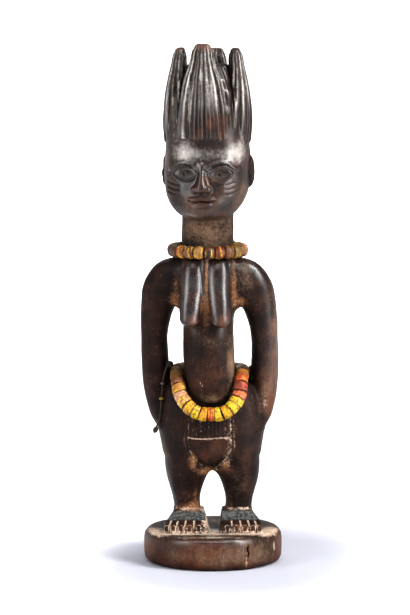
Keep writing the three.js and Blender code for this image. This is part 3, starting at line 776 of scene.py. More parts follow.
# %% Hollows and edges
def read(p):
    """The distance at any points, read between the grid's own."""
    g = np.clip((p - CORNER) / STEP, 0, np.array(field.shape) - 1.001)
    i = g.astype(int)
    t = (g - i).astype(np.float32)
    total = np.zeros(len(p), np.float32)
    for corner in np.ndindex(2, 2, 2):
        share = np.abs(1 - np.array(corner) - t).prod(axis=1)
        total += share * field[tuple((i + corner).T)]
    return total


def closed_in(sign, reaches):
    """How little room is left outside each point (sign 1), or wood inside it (sign -1), within some mm."""
    room = [np.clip(sign * read(points + sign * outward * r) / r, 0, 1) for r in reaches]
    return 1 - np.mean(room, axis=0)


outward = unit(np.stack([read(points + d) - read(points - d) for d in np.eye(3) * 0.5], axis=1))
hollow, groove = closed_in(1, (0.7, 1.4, 2.6, 4.5)), closed_in(1, (0.5, 0.9))
edge = closed_in(-1, (0.7, 1.5, 3.0))
print("hollow", hollow.mean().round(3), "groove", groove.mean().round(3), "edge", edge.mean().round(3))

# %% Stand it in the block
standing = np.clip(stand(points), np.array(solids_low) / MM, np.array(solids_high) / MM)
carved.vertices.foreach_set("co", (standing * MM).astype(np.float32).ravel())
carved.update()
carved.shade_smooth()
print("it stands from", standing.min(0).round(1), "to", standing.max(0).round(1))

# %% [markdown]
# ## Where the finish changes
# Hands and cloth have rubbed the high places to red-brown. Ochre has settled in the hollows, and pale
# earth round the feet and in the apron's cuts. The shape alone doesn't tell where, so the places are
# listed as soft patches. Each one has its middle in mm over the floor, its reach in x, y and
# z, and its strength, which takes away where it is below zero.

# %% Earth
OCHRE_AT = [
    (-4, -17, 131, 3.2, 5, 11, 1.0), (-3.4, -17, 150, 1.0, 5, 13, 1.0), (-19.5, -9, 146, 3, 6, 13, 0.8),
    (10.8, -9, 147, 1.7, 6, 16, 1.0), (15, -7, 137, 5, 6, 6, 0.8), (-21, -7, 137, 4, 6, 6, 0.7),
    (-3, -13, 174, 16, 9, 12, 0.3), (10, -9, 174, 4, 8, 12, 0.5), (-10.5, -13, 54, 3.2, 6, 6, 1.0),
    (6.5, -13, 52, 3.6, 6, 5, 0.9), (-2.5, -10, 48, 6, 7, 3.2, 1.0), (-9, -7, 34, 2.8, 7, 9, 0.62),
    (-12, -6, 28.5, 9, 6, 3, 0.8), (8.8, -7, 33, 2.4, 7, 8, 0.6), (-5, 10, 30, 12, 8, 12, 0.5),
    (-22, -4, 108, 2.2, 6, 20, 0.45), (28, -5, 142, 3, 7, 14, 0.4), (0, 16, 62, 3, 6, 14, 0.8),
    (0, 15, 120, 14, 5, 30, 0.25), (17, 0, 100, 5, 8, 3, 0.5), (-19, 0, 100, 5, 8, 3, 0.5),
    (-3, -24, 200, 7, 6, 5, 0.5), (18, -16, 198, 4, 6, 8, 0.4), (-34, -10, 9, 4, 10, 6, 0.5),
    (6, -34, 4, 9, 5, 4, 0.4),
]
PALE_AT = [
    (-16, -21, 17, 15, 3.6, 1.6, 1.0), (15, -21, 17, 15, 3.6, 1.6, 1.0), (0, -12, 19, 4.4, 15, 5, 0.85),
    (-4.4, -10, 23, 2.0, 9, 8, 1.0), (28, -14, 17, 7, 11, 2, 0.9), (-29, -14, 17, 6, 11, 2, 0.85),
    (0, -30, 17, 32, 3, 1.4, 0.7), (30, -8, 17, 5, 11, 2, 0.95), (-31, -8, 17, 4, 10, 2, 0.75),
    (0, 18, 17, 24, 10, 2, 0.6), (14, -6, 28, 9, 5, 1.7, 0.72), (-12.5, -6, 27.8, 9, 5, 1.5, 0.75),
    (8.6, -14, 62, 2.6, 5, 12, 0.42), (6.5, -14, 68, 5, 5, 4, 0.34), (-10, -13, 54, 2.6, 6, 4.5, 0.42),
    (6.5, -13, 53, 3, 6, 4.5, 0.42), (27, -6, 84, 2, 5, 6, 0.6), (17.1, -32, 4.6, 0.62, 3, 4.8, 1.0),
    (31.7, -17.6, 8.7, 0.65, 1.8, 5.2, 1.0),
]
CREAM_AT = [(-16, -19, 20, 13, 5, 6, 1.0), (15, -19, 20, 13, 5, 6, 1.0), (-1, -15, 62, 13, 6, 10, 0.45)]
print("patches of earth:", len(OCHRE_AT) + len(PALE_AT) + len(CREAM_AT))

# %% Dust and wear
DUSTY_AT = [
    (-3, -10, 174, 17, 12, 11, 0.95), (-3, -18, 117, 14, 6, 6, 0.5), (10, -14, 104, 3.4, 8, 24, 1.0),
    (-3, -20, 87, 9, 5, 4, 0.9), (32, -4, 130, 5, 10, 30, 0.5), (27, -8, 88, 5, 8, 16, 0.6),
    (-27, -8, 92, 4, 6, 20, 0.3), (20, -14, 78, 8, 8, 9, 0.25), (14, -8, 42, 8, 8, 14, 0.5),
    (-16, -8, 40, 7, 8, 10, 0.4), (0, -34, 8, 44, 14, 6, 0.6), (-12, -34, 9, 20, 8, 5, 0.35),
    (25, -28, 9, 17, 14, 6.5, 0.85), (0, -6, 17.5, 34, 34, 2, 0.5), (-3, 0, 245, 34, 34, 34, 0.3),
    (17, -8, 148, 6, 6, 14, 0.7), (14, -16, 192, 8, 8, 12, 0.5), (0, 14, 110, 24, 8, 40, 0.5),
    (0, 18, 180, 24, 10, 24, 0.4),
]
WORN_AT = [
    (-3, -20, 96, 12, 8, 19, 0.5), (-10, -20, 128, 4, 6, 5, 0.85), (5, -20, 128, 4, 6, 5, 0.95),
    (32, -2, 112, 3.5, 8, 34, 0.6), (29, -4, 92, 6, 8, 22, 0.8), (10.5, -14, 104, 2.4, 8, 22, 0.7),
    (-1, -17, 58, 9, 5, 9, 0.75), (16, -15, 55, 10, 7, 20, 0.3), (-19, -14, 55, 8, 7, 20, 0.18),
    (0, -36, 8, 46, 18, 11, 0.85), (0, 36, 8, 46, 20, 11, 0.9), (36, 0, 8, 14, 30, 11, 0.9),
    (-36, 0, 8, 14, 30, 11, 0.95), (-3, -24, 228, 17, 8, 10, 0.42), (-2, -12, 268.5, 14, 22, 3.0, 0.95),
    (20, 0, 267, 5, 10, 2.4, 0.95), (-22, 0, 267, 5, 10, 2.4, 0.95), (-4, -24, 187, 17, 8, 15, 0.45),
    (-3, -12, 174, 15, 8, 12, 0.35), (-16, -19, 21, 12, 4, 3.4, 0.7), (15, -19, 21, 12, 4, 3.4, 0.7),
    (22, 4, 188, 4, 9, 12, 0.7), (-26, -2, 188, 4, 9, 12, 0.7), (0, 20, 84, 24, 12, 16, 0.4),
    (-2, 14, 150, 26, 8, 14, 0.35),
]
print("patches of dust and wear:", len(DUSTY_AT) + len(WORN_AT))

# %% Polish, the grey that wax and soot leave with painted highlight on the hair's ridges, and a painted sheen
POLISHED_AT = [
    (-10.7, -18, 141, 7, 6, 19, 1.0), (2.6, -18, 141, 7, 6, 19, 1.0), (20, -4, 157, 12, 10, 8, 0.9),
    (-3, 0, 242, 30, 30, 26, 0.85), (-4, -20, 208, 21, 12, 16, 0.75), (-4, -22, 184, 18, 10, 10, 0.3),
    (0, -35, 16, 34, 6, 2.6, 1.0), (9, -14, 106, 2.5, 5, 18, 0.5), (-24, -2, 156, 8, 10, 6, 0.3),
    (31, 0, 120, 5, 9, 30, 0.45), (0, 18, 80, 22, 10, 14, 0.4), (0, -12, 17.4, 5, 6, 1.4, 0.8),
    (8.4, -14, 242, 4.2, 9, 16, -0.95), (24, -6, 236, 8, 12, 30, -0.7), (-3, -24, 225, 16, 8, 10, -0.6),
    (-3, -17, 98, 15, 10, 20, -0.8), (-34, 0, 118, 10, 12, 44, -0.9), (-18, -12, 66, 12, 10, 24, -0.4),
    (-3, -8, 174, 18, 12, 10, -0.6),
]
ASHEN_AND_HIGHLIGHT_AT = [
    (-3, 0, 250, 36, 36, 26, 1.0), (13, -17, 226, 4, 9, 12, 0.25), (-15, -17, 222, 4, 9, 8, 0.6),
    (-3, -24, 225, 17, 9, 12, -0.9), (24, -6, 236, 9, 14, 30, -0.75), (-1, -15, 71, 10, 5, 4, 0.4),
]
PAINTED_SHEEN_AT = [
    (-15, -20, 214, 9, 9, 6, 0.7), (13, -20, 214, 8, 9, 6, 0.9), (-3, -24, 214, 14, 7, 4, 0.5),
    (15, -15, 222, 3.4, 9, 9, 0.4), (-20, -14, 224, 3, 8, 10, 0.4), (-12.2, -20, 240, 1.5, 7, 15, 0.7),
    (-0.8, -22, 246, 1.4, 7, 12, 0.7),
]


def patches(listed):
    total = np.zeros(len(standing))
    for x, y, z, rx, ry, rz, strength in listed:
        far = (((standing - (x, y, z)) / (rx, ry, rz)) ** 2).sum(1)
        total = 1 - (1 - total) * (1 - strength * np.exp(-far))
    return total


print("polished on average:", patches(POLISHED_AT).mean().round(2))

# %% Light and dark ridges of hair
# how light each ridge of the front lobe is painted, from the figure's right to its left; partly worn grey,
# partly painted highlight
FRONT_RIDGES = [0.3, 0.75, 1.0, 0.5, 0.6, 0.7, 1.0, 0.6, 0.55]
px, py, pz = points.T
ridge_at, crest_wear_and_highlight_at = np.zeros(len(points)), np.zeros(len(points))
shades = np.random.default_rng(4).uniform(0.3, 0.95, (4, 12))
shades[0, :len(FRONT_RIDGES)] = FRONT_RIDGES
for k, (azimuth, top, bottom, spread, ridges, filled) in enumerate(LOBES):
    u, v, _, _ = in_lobe(px, py, np.clip((pz - bottom) / (top - bottom), 0, 1), azimuth, spread, filled)
    turns = ridges * (np.arctan2(v, u) / np.pi + 0.5)
    near = (np.hypot(u, v) < 1.24) & (pz > bottom - 0.4) & (u > (-1.3 if filled else -0.6))
    ridge_at[near] = (1 - np.abs(2 * (turns - np.floor(turns)) - 1))[near]
    crest_wear_and_highlight_at[near] = shades[k][np.floor(turns).astype(int) % 12][near]
print("points on ridges:", int((ridge_at > 0.5).sum()))

# %% Slate tops of the feet, pale toes and filled lines
foot_top = ease(-12.5, -11.7, py) * (1 - ease(-6.9, -6.3, py)) * ease(5.0, 5.7, pz) * (pz < 12)
foot_top = foot_top * ease(0.25, 0.6, outward[:, 2])
pale = np.maximum(patches(PALE_AT), patches(CREAM_AT) * ease(0.2, 0.42, hollow))
for side in (-1, 1):
    share, _, _, _, off_gap, nail = on_foot(side, px, py)
    on_toes = (py < -11.9) & (pz > 0.6) & (pz < 8) & (np.abs(share) < 1)
    round_nail = 0.8 * np.exp(-(((nail - 1.1) / 0.25) ** 2)) * (py < -15.2)
    line = (1 - ease(0.3, 0.75, off_gap)) * ease(1.5, 4, pz) + round_nail
    pale = np.maximum(pale, on_toes * np.minimum(line, 1))
column = np.clip(((points - CORNER) / STEP).round().astype(int), 0, np.array(field.shape) - 1)
pale = np.maximum(pale, earth[column[:, 0], column[:, 2]] * ease(0.2, 0.5, -outward[:, 1]) * (py < -7))
print("pale on average:", pale.mean().round(3))


# %% Keep it on the skin
def keep(piece, name, values, kind="FLOAT"):
    """A value at every point of a piece, for its finish to read."""
    part = {"FLOAT_COLOR": "color", "FLOAT_VECTOR": "vector"}.get(kind, "value")
    values = np.asarray(values, np.int32 if kind == "INT" else np.float32)
    piece.data.attributes.new(name, kind, "POINT").data.foreach_set(part, values.ravel())


bare = 1 - foot_top
marks = {
    "hollow": hollow, "groove": groove, "edge": edge, "ochre": patches(OCHRE_AT), "pale": pale * bare,
    "worn": patches(WORN_AT) * bare, "slate": foot_top, "ashen": patches(ASHEN_AND_HIGHLIGHT_AT),
    "veiled": patches(PAINTED_SHEEN_AT), "crown": ridge_at, "lightness": crest_wear_and_highlight_at,
    "polished": patches(POLISHED_AT) * bare, "dusted": patches(DUSTY_AT),
}
for name, values in marks.items():
    keep(figure, name, values)
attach(figure, "root")
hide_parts("carved_figure")
print("the skin keeps", len(marks), "marks")

# %% [markdown]
# ## Short calls for nodes
# Threading beads and mixing finishes both take long node trees. Two short calls, one for a new node
# with its settings and its inputs and one for a sum, let each tree be read as a recipe.


# %% Short calls for nodes
class Recipe:
    """One node tree. A value in it is a number, a colour, a vector or another node's output."""

    def __init__(self, tree):
        self.tree = tree

    def feed(self, socket, value):
        if hasattr(value, "is_output"):
            self.tree.links.new(value, socket)
        elif isinstance(value, tuple) and len(value) == 3 and len(socket.default_value) == 4:
            socket.default_value = (*value, 1)
        else:
            socket.default_value = value

    def add(self, kind, inputs=(), **settings):
        """A new node. Its inputs are listed in their order, or by name or number."""
        node = self.tree.nodes.new(kind)
        for name, value in settings.items():
            setattr(node, name, value)
        for key, value in inputs.items() if isinstance(inputs, dict) else enumerate(inputs):
            self.feed(node.inputs[key], value)
        return node

    def sum(self, operation, *values):
        return self.add("ShaderNodeMath", values, operation=operation).outputs[0]

    def vector(self, operation, inputs):
        return self.add("ShaderNodeVectorMath", inputs, operation=operation).outputs[0]


# %% [markdown]
# ## Beads
# Each bead is a ring of opaque glass, ground flat at its ends by its neighbours. Geometry Nodes
# thread them: points at even steps along the string, a bead on each, and then every bead is bent to
# the string's curve, so neighbours meet face to face. A small random size and tilt keeps them apart.
# The tree asks for the string, the bead to copy, how many places there are and which one is empty,
# the radius, how much of its place a bead fills, how uneven and tilted it is, a seed and the glass.


# %% A bead to copy
BEAD_SIDES = 26


def bead_pattern(name, bore, corner, crown):
    """A ring of radius 1 and length 1: bore, flat end, round corner, crowned side, and the same back."""
    arc = [(1 - crown - corner + corner * math.sin(t), -0.5 + corner * 0.8 * (1 - math.cos(t)))
           for t in np.linspace(0, math.pi / 2, 4)]
    one = [(bore, -0.46), (bore + 0.05, -0.5)] + arc
    side = [(1 - crown * 0.3, -0.16), (1, 0), (1 - crown * 0.3, 0.16)]
    profile = one + side + [(r, -h) for r, h in reversed(one)]
    points = [(r * math.cos(a), h, r * math.sin(a)) for a in circle(BEAD_SIDES) for r, h in profile]
    piece = mesh_object(name, points, net(BEAD_SIDES, len(profile)))
    keep(piece, "local", points, "FLOAT_VECTOR")
    return piece


neck_bead = bead_pattern("neck_bead_pattern", 0.33, 0.24, 0.12)
waist_bead = bead_pattern("waist_bead_pattern", 0.31, 0.09, 0.03)
print("a bead has", len(neck_bead.data.polygons), "faces")


# %% The threading tree
LUMPS_TO_A_METRE, LUMP_MIDDLE, LUMP_HEIGHT = 420, 0.62, 0.14


def threading_tree():
    tree = bpy.data.node_groups.new("thread_beads", "GeometryNodeTree")
    for name, kind in (
        ("String", "Geometry"), ("Bead", "Object"), ("Slots", "Int"), ("Empty slot", "Int"),
        ("Radius", "Float"), ("Fill", "Float"), ("Unevenness", "Float"), ("Tilt", "Float"),
        ("Seed", "Int"), ("Glass", "Material"),
    ):
        tree.interface.new_socket(name, in_out="INPUT", socket_type="NodeSocket" + kind)
    tree.interface.new_socket("Beads", in_out="OUTPUT", socket_type="NodeSocketGeometry")
    make = Recipe(tree)
    given = make.add("NodeGroupInput").outputs
    slots, uneven = given["Slots"], given["Unevenness"]

    def step(kind, geometry, inputs=(), **settings):
        """The next thing done to some geometry."""
        return make.add(kind, {"Geometry": geometry, **dict(inputs)}, **settings).outputs["Geometry"]

    number = make.add("GeometryNodeInputIndex").outputs[0]
    spots = make.add("GeometryNodeCurveToPoints", {"Curve": given["String"], "Count": slots}).outputs["Points"]
    spots = step("GeometryNodeStoreNamedAttribute", spots, {"Name": "bead", "Value": number}, data_type="INT")
    empty = make.add("FunctionNodeCompare", {2: number, 3: given["Empty slot"]},
                     data_type="INT", operation="EQUAL").outputs["Result"]
    spots = step("GeometryNodeDeleteGeometry", spots, {"Selection": empty})
    shape = make.add("GeometryNodeObjectInfo", {"Object": given["Bead"]}).outputs["Geometry"]
    copies = make.add("GeometryNodeInstanceOnPoints", {"Points": spots, "Instance": shape})
    beads = step("GeometryNodeRealizeInstances", copies.outputs["Instances"])

    def kept(name, kind):
        return make.add("GeometryNodeInputNamedAttribute", {"Name": name}, data_type=kind).outputs["Attribute"]

    def random(low, high, offset):
        inputs = {2: low, 3: high, "ID": bead, "Seed": make.sum("ADD", given["Seed"], offset)}
        return make.add("FunctionNodeRandomValue", inputs, data_type="FLOAT").outputs[1]

    def times(a, b):
        return make.sum("MULTIPLY", a, b)

    def scaled(vector, amount):
        return make.vector("SCALE", {0: vector, "Scale": amount})

    bead = kept("bead", "INT")
    local = make.add("ShaderNodeSeparateXYZ", [kept("local", "FLOAT_VECTOR")]).outputs
    lean_x = times(times(random(-1, 1, 1), given["Tilt"]), local["X"])
    lean_z = times(times(random(-1, 1, 2), given["Tilt"]), local["Z"])
    length = make.sum("SUBTRACT", given["Fill"], times(random(0, 1, 3), uneven))
    run = make.sum("ADD", times(local["Y"], length), make.sum("ADD", lean_x, lean_z))
    place = make.sum("DIVIDE", make.sum("ADD", make.sum("ADD", bead, run), slots), slots)
    here = make.add("GeometryNodeSampleCurve", {
        "Curves": given["String"], "Factor": make.sum("FRACT", place)}, mode="FACTOR").outputs
    radius = times(given["Radius"], make.sum("SUBTRACT", 1.0, times(random(0, 1, 4), uneven)))
    to_side = scaled(here["Normal"], times(local["X"], radius))
    to_top = scaled(make.vector("CROSS_PRODUCT", [here["Tangent"], here["Normal"]]), times(local["Z"], radius))
    bent = make.vector("ADD", [here["Position"], make.vector("ADD", [to_side, to_top])])
    beads = step("GeometryNodeSetPosition", beads, {"Position": bent})
    lump = make.add("ShaderNodeTexNoise", {"Scale": LUMPS_TO_A_METRE, "Detail": 2}).outputs[0]
    away = make.vector("SUBTRACT", [make.add("GeometryNodeInputPosition").outputs[0], here["Position"]])
    swollen = scaled(away, times(make.sum("SUBTRACT", lump, LUMP_MIDDLE), LUMP_HEIGHT))
    beads = step("GeometryNodeSetPosition", beads, {"Offset": swollen})
    beads = step("GeometryNodeSetMaterial", beads, {"Material": given["Glass"]})
    make.add("NodeGroupOutput", {"Beads": beads})
    return tree


thread_beads = threading_tree()
print("threading tree has", len(thread_beads.nodes), "nodes")

# %% The two strings' lines
NECK_HALF, NECK_AIR, SHOULDERS = 13.5, 0.7, 142
neck_reach = NECK_HALF + NECK_AIR + NECKLACE_BEAD / 2
neck_level = SHOULDERS + CLEARANCE + NECKLACE_BEAD / 2
neck_line = stand([(neck_reach * math.cos(a), 0.5 + neck_reach * math.sin(a), neck_level) for a in circle(12)])
# on the wood in x, y and z, and which way the string stands off it, in shares of a bead's radius
WAIST_PATH = np.array([
    (0, -14.5, 66.4, 0, -1, -1), (4.8, -14.6, 66.6, 0.1, -1, -1), (7.2, -14.5, 68, 0.6, -1, -0.8),
    (9.7, -13, 70.3, 0.85, -1, -0.5), (11.6, -11, 73.6, 0.95, -1, -0.3),
    (BODY_HALF - 1.0, -8.9, 76.8, 1, -1, 0), (BODY_HALF - 0.45, -6.4, HIP_SHELF - 0.8, 1, -0.6, 0.8),
    (BODY_HALF - 0.2, -2.5, HIP_SHELF + 0.3, 1, 0, 1), (BODY_HALF, 3.5, HIP_SHELF + 0.5, 1, 0, 1),
    (11.2, 8.2, HIP_SHELF, 0.7, 0.8, 1), (7.2, 11.4, HIP_SHELF - 0.4, 0.2, 1, 1),
    (0, 12.3, HIP_SHELF - 0.8, 0, 1, 1),
])
half_line = WAIST_PATH[:, :3] + WAIST_PATH[:, 3:] * (0.05 + WAIST_BEAD / 2)
waist_line = stand(np.vstack([half_line, half_line[-2:0:-1] * (-1, 1, 1)]))
waist_length = along(waist_line, 9, True)[1]
print("strings:", round(along(neck_line, 9, True)[1], 1), "and", round(waist_length, 1), "mm")


# %% Thread them
def thread(name, line, inputs):
    """Beads on a string through a line of points."""
    points, _ = along(line, inputs["Slots"] * 12, True)
    curve = bpy.data.curves.new(name, "CURVE")
    curve.dimensions = "3D"
    spline = curve.splines.new("POLY")
    spline.points.add(len(points) - 1)
    spline.points.foreach_set("co", np.c_[points * MM, np.ones(len(points))].astype(np.float32).ravel())
    spline.use_cyclic_u = True
    string = put_in(name + "_line", curve)
    nodes = string.modifiers.new("thread", "NODES")
    nodes.node_group = thread_beads
    for socket in thread_beads.interface.items_tree:
        if socket.name in inputs:
            nodes[socket.identifier] = inputs[socket.name]
    bpy.context.view_layer.update()
    made = bpy.data.meshes.new_from_object(string.evaluated_get(bpy.context.evaluated_depsgraph_get()))
    made.name = name
    made.shade_smooth()
    bpy.data.objects.remove(string)
    return put_in(name, made)


# %% [markdown]
# ## Finishes
# Every finish is built from the same few moves: a noise of some size, a mask out of it, a colour
# painted over the last one by the mask, and a bump from the same noise. A small class keeps each
# move to one call, so that a finish reads as a list of layers.


# %% Short calls for finishes
class Finish(Recipe):
    def __init__(self, name):
        self.material = bpy.data.materials.new(name)
        self.material.use_nodes = True
        super().__init__(self.material.node_tree)
        self.place = self.add("ShaderNodeTexCoord").outputs["Object"]
        self.noises, self.tone = [], None

    def stretched(self, *scale, shift=0.0):
        inputs = {"Vector": self.place, "Scale": scale, "Location": (shift, 0, 0)}
        return self.add("ShaderNodeMapping", inputs).outputs[0]

    def noise(self, size, detail, rough, place=None, distortion=0.0):
        """Cloudy noise with patches of about this size in mm."""
        self.noises.append(self.add("ShaderNodeTexNoise", {
            "Vector": place or self.place, "Scale": 1 / (size * MM), "Detail": detail, "Roughness": rough,
            "Distortion": distortion}).outputs[0])
        return self.noises[-1]

    def dots(self, size, inner, outer):
        """Round dots, one in each cell of a size in mm, 1 inside and 0 outside."""
        cells = self.add("ShaderNodeTexVoronoi", {"Vector": self.place, "Scale": 1 / (size * MM)})
        return self.between(cells.outputs["Distance"], inner, outer, 1.0, 0.0)

    def from_mesh(self, name, output="Fac"):
        return self.add("ShaderNodeAttribute", attribute_name=name).outputs[output]

    def between(self, value, low, high, start=0.0, end=1.0):
        """Start below low, end above high, with a soft step."""
        inputs = (value, low, high, start, end)
        return self.add("ShaderNodeMapRange", inputs, interpolation_type="SMOOTHSTEP").outputs[0]

    def weighed(self, *parts):
        """The sum of value times weight. A noise counts from its middle, 0.5."""
        total = 0.0
        for value, weight in parts:
            middle = 0.5 if value in self.noises else 0.0
            total = self.sum("ADD", total, self.sum("MULTIPLY_ADD", value, weight, -weight * middle))
        return total

    def both(self, a, b):
        return self.sum("MULTIPLY", a, b)

    def mix(self, share, a, b):
        return self.add("ShaderNodeMix", {0: share, 6: a, 7: b}, data_type="RGBA").outputs[2]

    def paint(self, share, colour):
        """A colour over what is there already."""
        self.tone = self.mix(share, self.tone, colour)

    def bump(self, height, depth, under=None):
        """Height 0 to 1 raised by depth in mm, on top of another bump."""
        inputs = {"Distance": depth * MM, "Height": height, **({"Normal": under} if under else {})}
        return self.add("ShaderNodeBump", inputs).outputs[0]

    def shade(self, inputs):
        shader = self.tree.nodes["Principled BSDF"]
        for name, value in {"Base Color": self.tone, **inputs}.items():
            self.feed(shader.inputs[name], value)


# %% [markdown]
# ### Handled wood
# Under the hands the wood has gone nearly black with a red-brown glow where it is rubbed, and its
# narrow grooves are painted darker still as painted shade. A grey film dulls it in places, and a pale
# grey painted sheen lies on the hair's edge and the brow. The hair's ridges are painted light, each as
# light as its mark says: partly worn grey, partly painted highlight. Ochre and pale earth sit in the
# hollows and in the cut lines, and fine dots and scratches catch the light. A thin coat shines where
# hands have polished it and dies where there is dust.

# %% Wood: what it reads, and its noises
wood = Finish("handled_wood")
hollow_at, groove_at, edge_at, ochre_at, pale_at, worn_at, slate_at = (
    wood.from_mesh(n) for n in ("hollow", "groove", "edge", "ochre", "pale", "worn", "slate"))
ashen_and_highlight_at, painted_sheen_at, polished_at, dusted_at, crown_at, crest_wear_and_highlight_at = (
    wood.from_mesh(n) for n in ("ashen", "veiled", "polished", "dusted", "crown", "lightness"))
between, both, mix, paint, weighed = wood.between, wood.both, wood.mix, wood.paint, wood.weighed
strand = wood.noise(1.5, 3, 0.5, wood.stretched(1, 1, 0.03))
fibre = wood.noise(1.1, 5, 0.6, wood.stretched(1, 1, 0.09))
blotch, fine, grit = wood.noise(9, 5, 0.6), wood.noise(1.6, 6, 0.65), wood.noise(0.55, 3, 0.6)
print("wood reads", len(wood.noises), "noises")

# %% Wood: dark, rubbed red-brown, and painted shade in the grooves
wood.tone = mix(between(blotch, 0.36, 0.68), (0.0078, 0.0045, 0.0037), (0.027, 0.0104, 0.0066))
red = mix(between(wood.noise(17, 3, 0.5), 0.42, 0.58), (0.112, 0.036, 0.016), (0.088, 0.042, 0.027))
paint(between(weighed((worn_at, 1.05), (edge_at, 0.4), (blotch, 0.8), (fibre, 1.0)), 0.2, 1.05), red)
paint(between(fibre, 0.47, 0.68, 0.0, 0.6), (0.010, 0.005, 0.004))
# painted shade: the narrow grooves are painted darker
paint(between(groove_at, 0.12, 0.4, 0.0, 0.8), (0.008, 0.0055, 0.0045))

# %% Wood: light ridges of hair, partly painted highlight, the grey film and a painted sheen
# painted highlight: the hair's ridge crests are painted light grey, partly worn grey and partly standing in for
# the soft boxes' highlights
ridge = weighed((groove_at, -3.0), (edge_at, 0.7), (crown_at, 0.45), (strand, 0.6), (fine, 0.4), (grit, 0.3))
ridge = both(between(ridge, -0.02, 0.5), between(ashen_and_highlight_at, 0.1, 0.85))
streaks = wood.noise(4.5, 3, 0.55, wood.stretched(1, 1, 0.16))
ridge = both(ridge, between(streaks, 0.36, 0.6, 0.6, 1.0))
crest = weighed((both(crown_at, crest_wear_and_highlight_at), 1.0), (strand, 0.8), (fine, 0.5), (grit, 0.5), (edge_at, 0.3))
paint(both(ridge, 0.88), mix(between(crest, 0.3, 0.95), (0.050, 0.041, 0.034), (0.56, 0.525, 0.49)))
film = between(weighed((blotch, 0.9), (fine, 0.8)), 0.02, 0.4)
paint(both(film, 0.24), (0.05, 0.038, 0.032))
# painted sheen: a pale grey painted highlight over the brow and the hair's edge
painted_sheen_mask = between(weighed((painted_sheen_at, 1.0), (blotch, 0.35), (fine, 0.7)), 0.25, 1.0)
paint(both(painted_sheen_mask, 0.85), (0.34, 0.31, 0.285))

# %% Wood: slate, ochre, pale earth and dust
slate = mix(between(fine, 0.40, 0.60), (0.016, 0.019, 0.021), (0.085, 0.086, 0.082))
paint(slate_at, mix(between(grit, 0.56, 0.66, 0.0, 0.6), slate, (0.24, 0.21, 0.17)))
ochre = weighed((ochre_at, 1.0), (hollow_at, 0.3), (fine, 1.1), (blotch, 0.7), (grit, 0.35))
ochre = between(ochre, 0.38, 1.1)
paint(both(ochre, 0.9), mix(fine, (0.10, 0.042, 0.014), (0.36, 0.185, 0.09)))
pale = between(weighed((pale_at, 1.0), (hollow_at, 0.3), (fine, 1.6), (grit, 0.9)), 0.42, 0.95)
paint(both(pale, 0.92), mix(fine, (0.17, 0.105, 0.07), (0.74, 0.60, 0.48)))
dust = between(weighed((grit, 0.55), (fine, 0.7), (blotch, 0.45), (dusted_at, 0.26)), -0.02, 0.42)
dust = both(dust, between(dusted_at, 0.1, 0.7))
paint(both(dust, 0.6), mix(blotch, (0.13, 0.075, 0.038), (0.26, 0.195, 0.14)))

# %% Wood: dots and scratches
SANDY = (0.36, 0.25, 0.16)
speck = both(wood.dots(1.5, 0.07, 0.18), between(wood.noise(5, 3, 0.6), 0.5, 0.6))
paint(both(speck, 0.35), SANDY)
scratch = between(wood.noise(0.8, 2, 0.5, wood.stretched(1, 1, 0.07), distortion=0.5), 0.67, 0.74)
paint(both(both(scratch, between(blotch, 0.44, 0.58)), 0.3), SANDY)

# %% Wood: shine and relief
dusty = wood.sum("MAXIMUM", wood.sum("MAXIMUM", ochre, pale), wood.sum("MAXIMUM", both(slate_at, 0.5), dust))
gloss = weighed((wood.sum("MULTIPLY_ADD", polished_at, -0.2, 0.5), 1.0), (fine, 0.3), (dusty, 0.4))
varnish = both(wood.sum("MAXIMUM", polished_at, 0.0), wood.sum("MULTIPLY_ADD", dusty, -0.85, 1.0))
relief = wood.bump(fine, 0.11, wood.bump(fibre, 0.06))
relief = wood.bump(both(grit, dusty), 0.16, relief)
relief = wood.bump(wood.sum("SUBTRACT", 1.0, speck), 0.05, relief)
wood.shade({
    "Roughness": gloss, "Normal": relief, "Specular IOR Level": 0.11, "Coat Weight": varnish,
    "Coat Roughness": 0.27, "Coat IOR": 1.7, "Coat Normal": wood.bump(fine, 0.1),
})
figure.data.materials.clear()
figure.data.materials.append(wood.material)
print("wood has", len(wood.tree.nodes), "nodes")

# %% [markdown]
# ### Glass and cotton
# Each bead has a colour of its own and a second one that runs through it in streaks. Brown stain,
# grime at the ends where beads touch, and small dark pits tell its age. The strings are dark cotton.

# %% Glass
glass = Finish("bead_glass")
local = glass.from_mesh("local", "Vector")
end_to_end = glass.add("ShaderNodeSeparateXYZ", [local]).outputs["Y"]
cloud, small = glass.noise(2.6, 3, 0.55), glass.noise(0.6, 4, 0.6)
own_place = glass.both(glass.from_mesh("bead"), 3.7)
band = glass.noise(1000, 3, 0.5, glass.vector("MULTIPLY_ADD", [local, (0.6, 5.0, 0.6), own_place]))
streaks = glass.weighed((cloud, 0.5), (small, 0.3), (band, 1.1), (glass.from_mesh("streak_share"), 1.0))
glass.tone = glass.from_mesh("body", "Color")
glass.paint(glass.between(streaks, 0.47, 0.52), glass.from_mesh("streak", "Color"))
glass.paint(glass.between(glass.noise(1.3, 5, 0.65), 0.46, 0.62, 0.0, 0.78), (0.115, 0.04, 0.012))
glass.paint(glass.between(small, 0.54, 0.72, 0.0, 0.2), (0.45, 0.27, 0.12))
ends = glass.between(glass.sum("ABSOLUTE", end_to_end), 0.38, 0.48)
grime = glass.both(ends, glass.between(small, 0.3, 0.5, 0.5, 1.0))
glass.paint(glass.both(grime, 0.85), (0.07, 0.026, 0.010))
pit = glass.both(glass.dots(0.9, 0.05, 0.13), glass.between(cloud, 0.45, 0.55))
glass.paint(glass.both(pit, 0.7), (0.05, 0.02, 0.01))
relief = glass.bump(glass.sum("SUBTRACT", 1.0, pit), 0.06, glass.bump(small, 0.07))
glass.shade({
    "Roughness": glass.sum("MULTIPLY_ADD", small, 0.3, 0.3), "Normal": relief, "Specular IOR Level": 0.3})
print("glass has", len(glass.tree.nodes), "nodes")

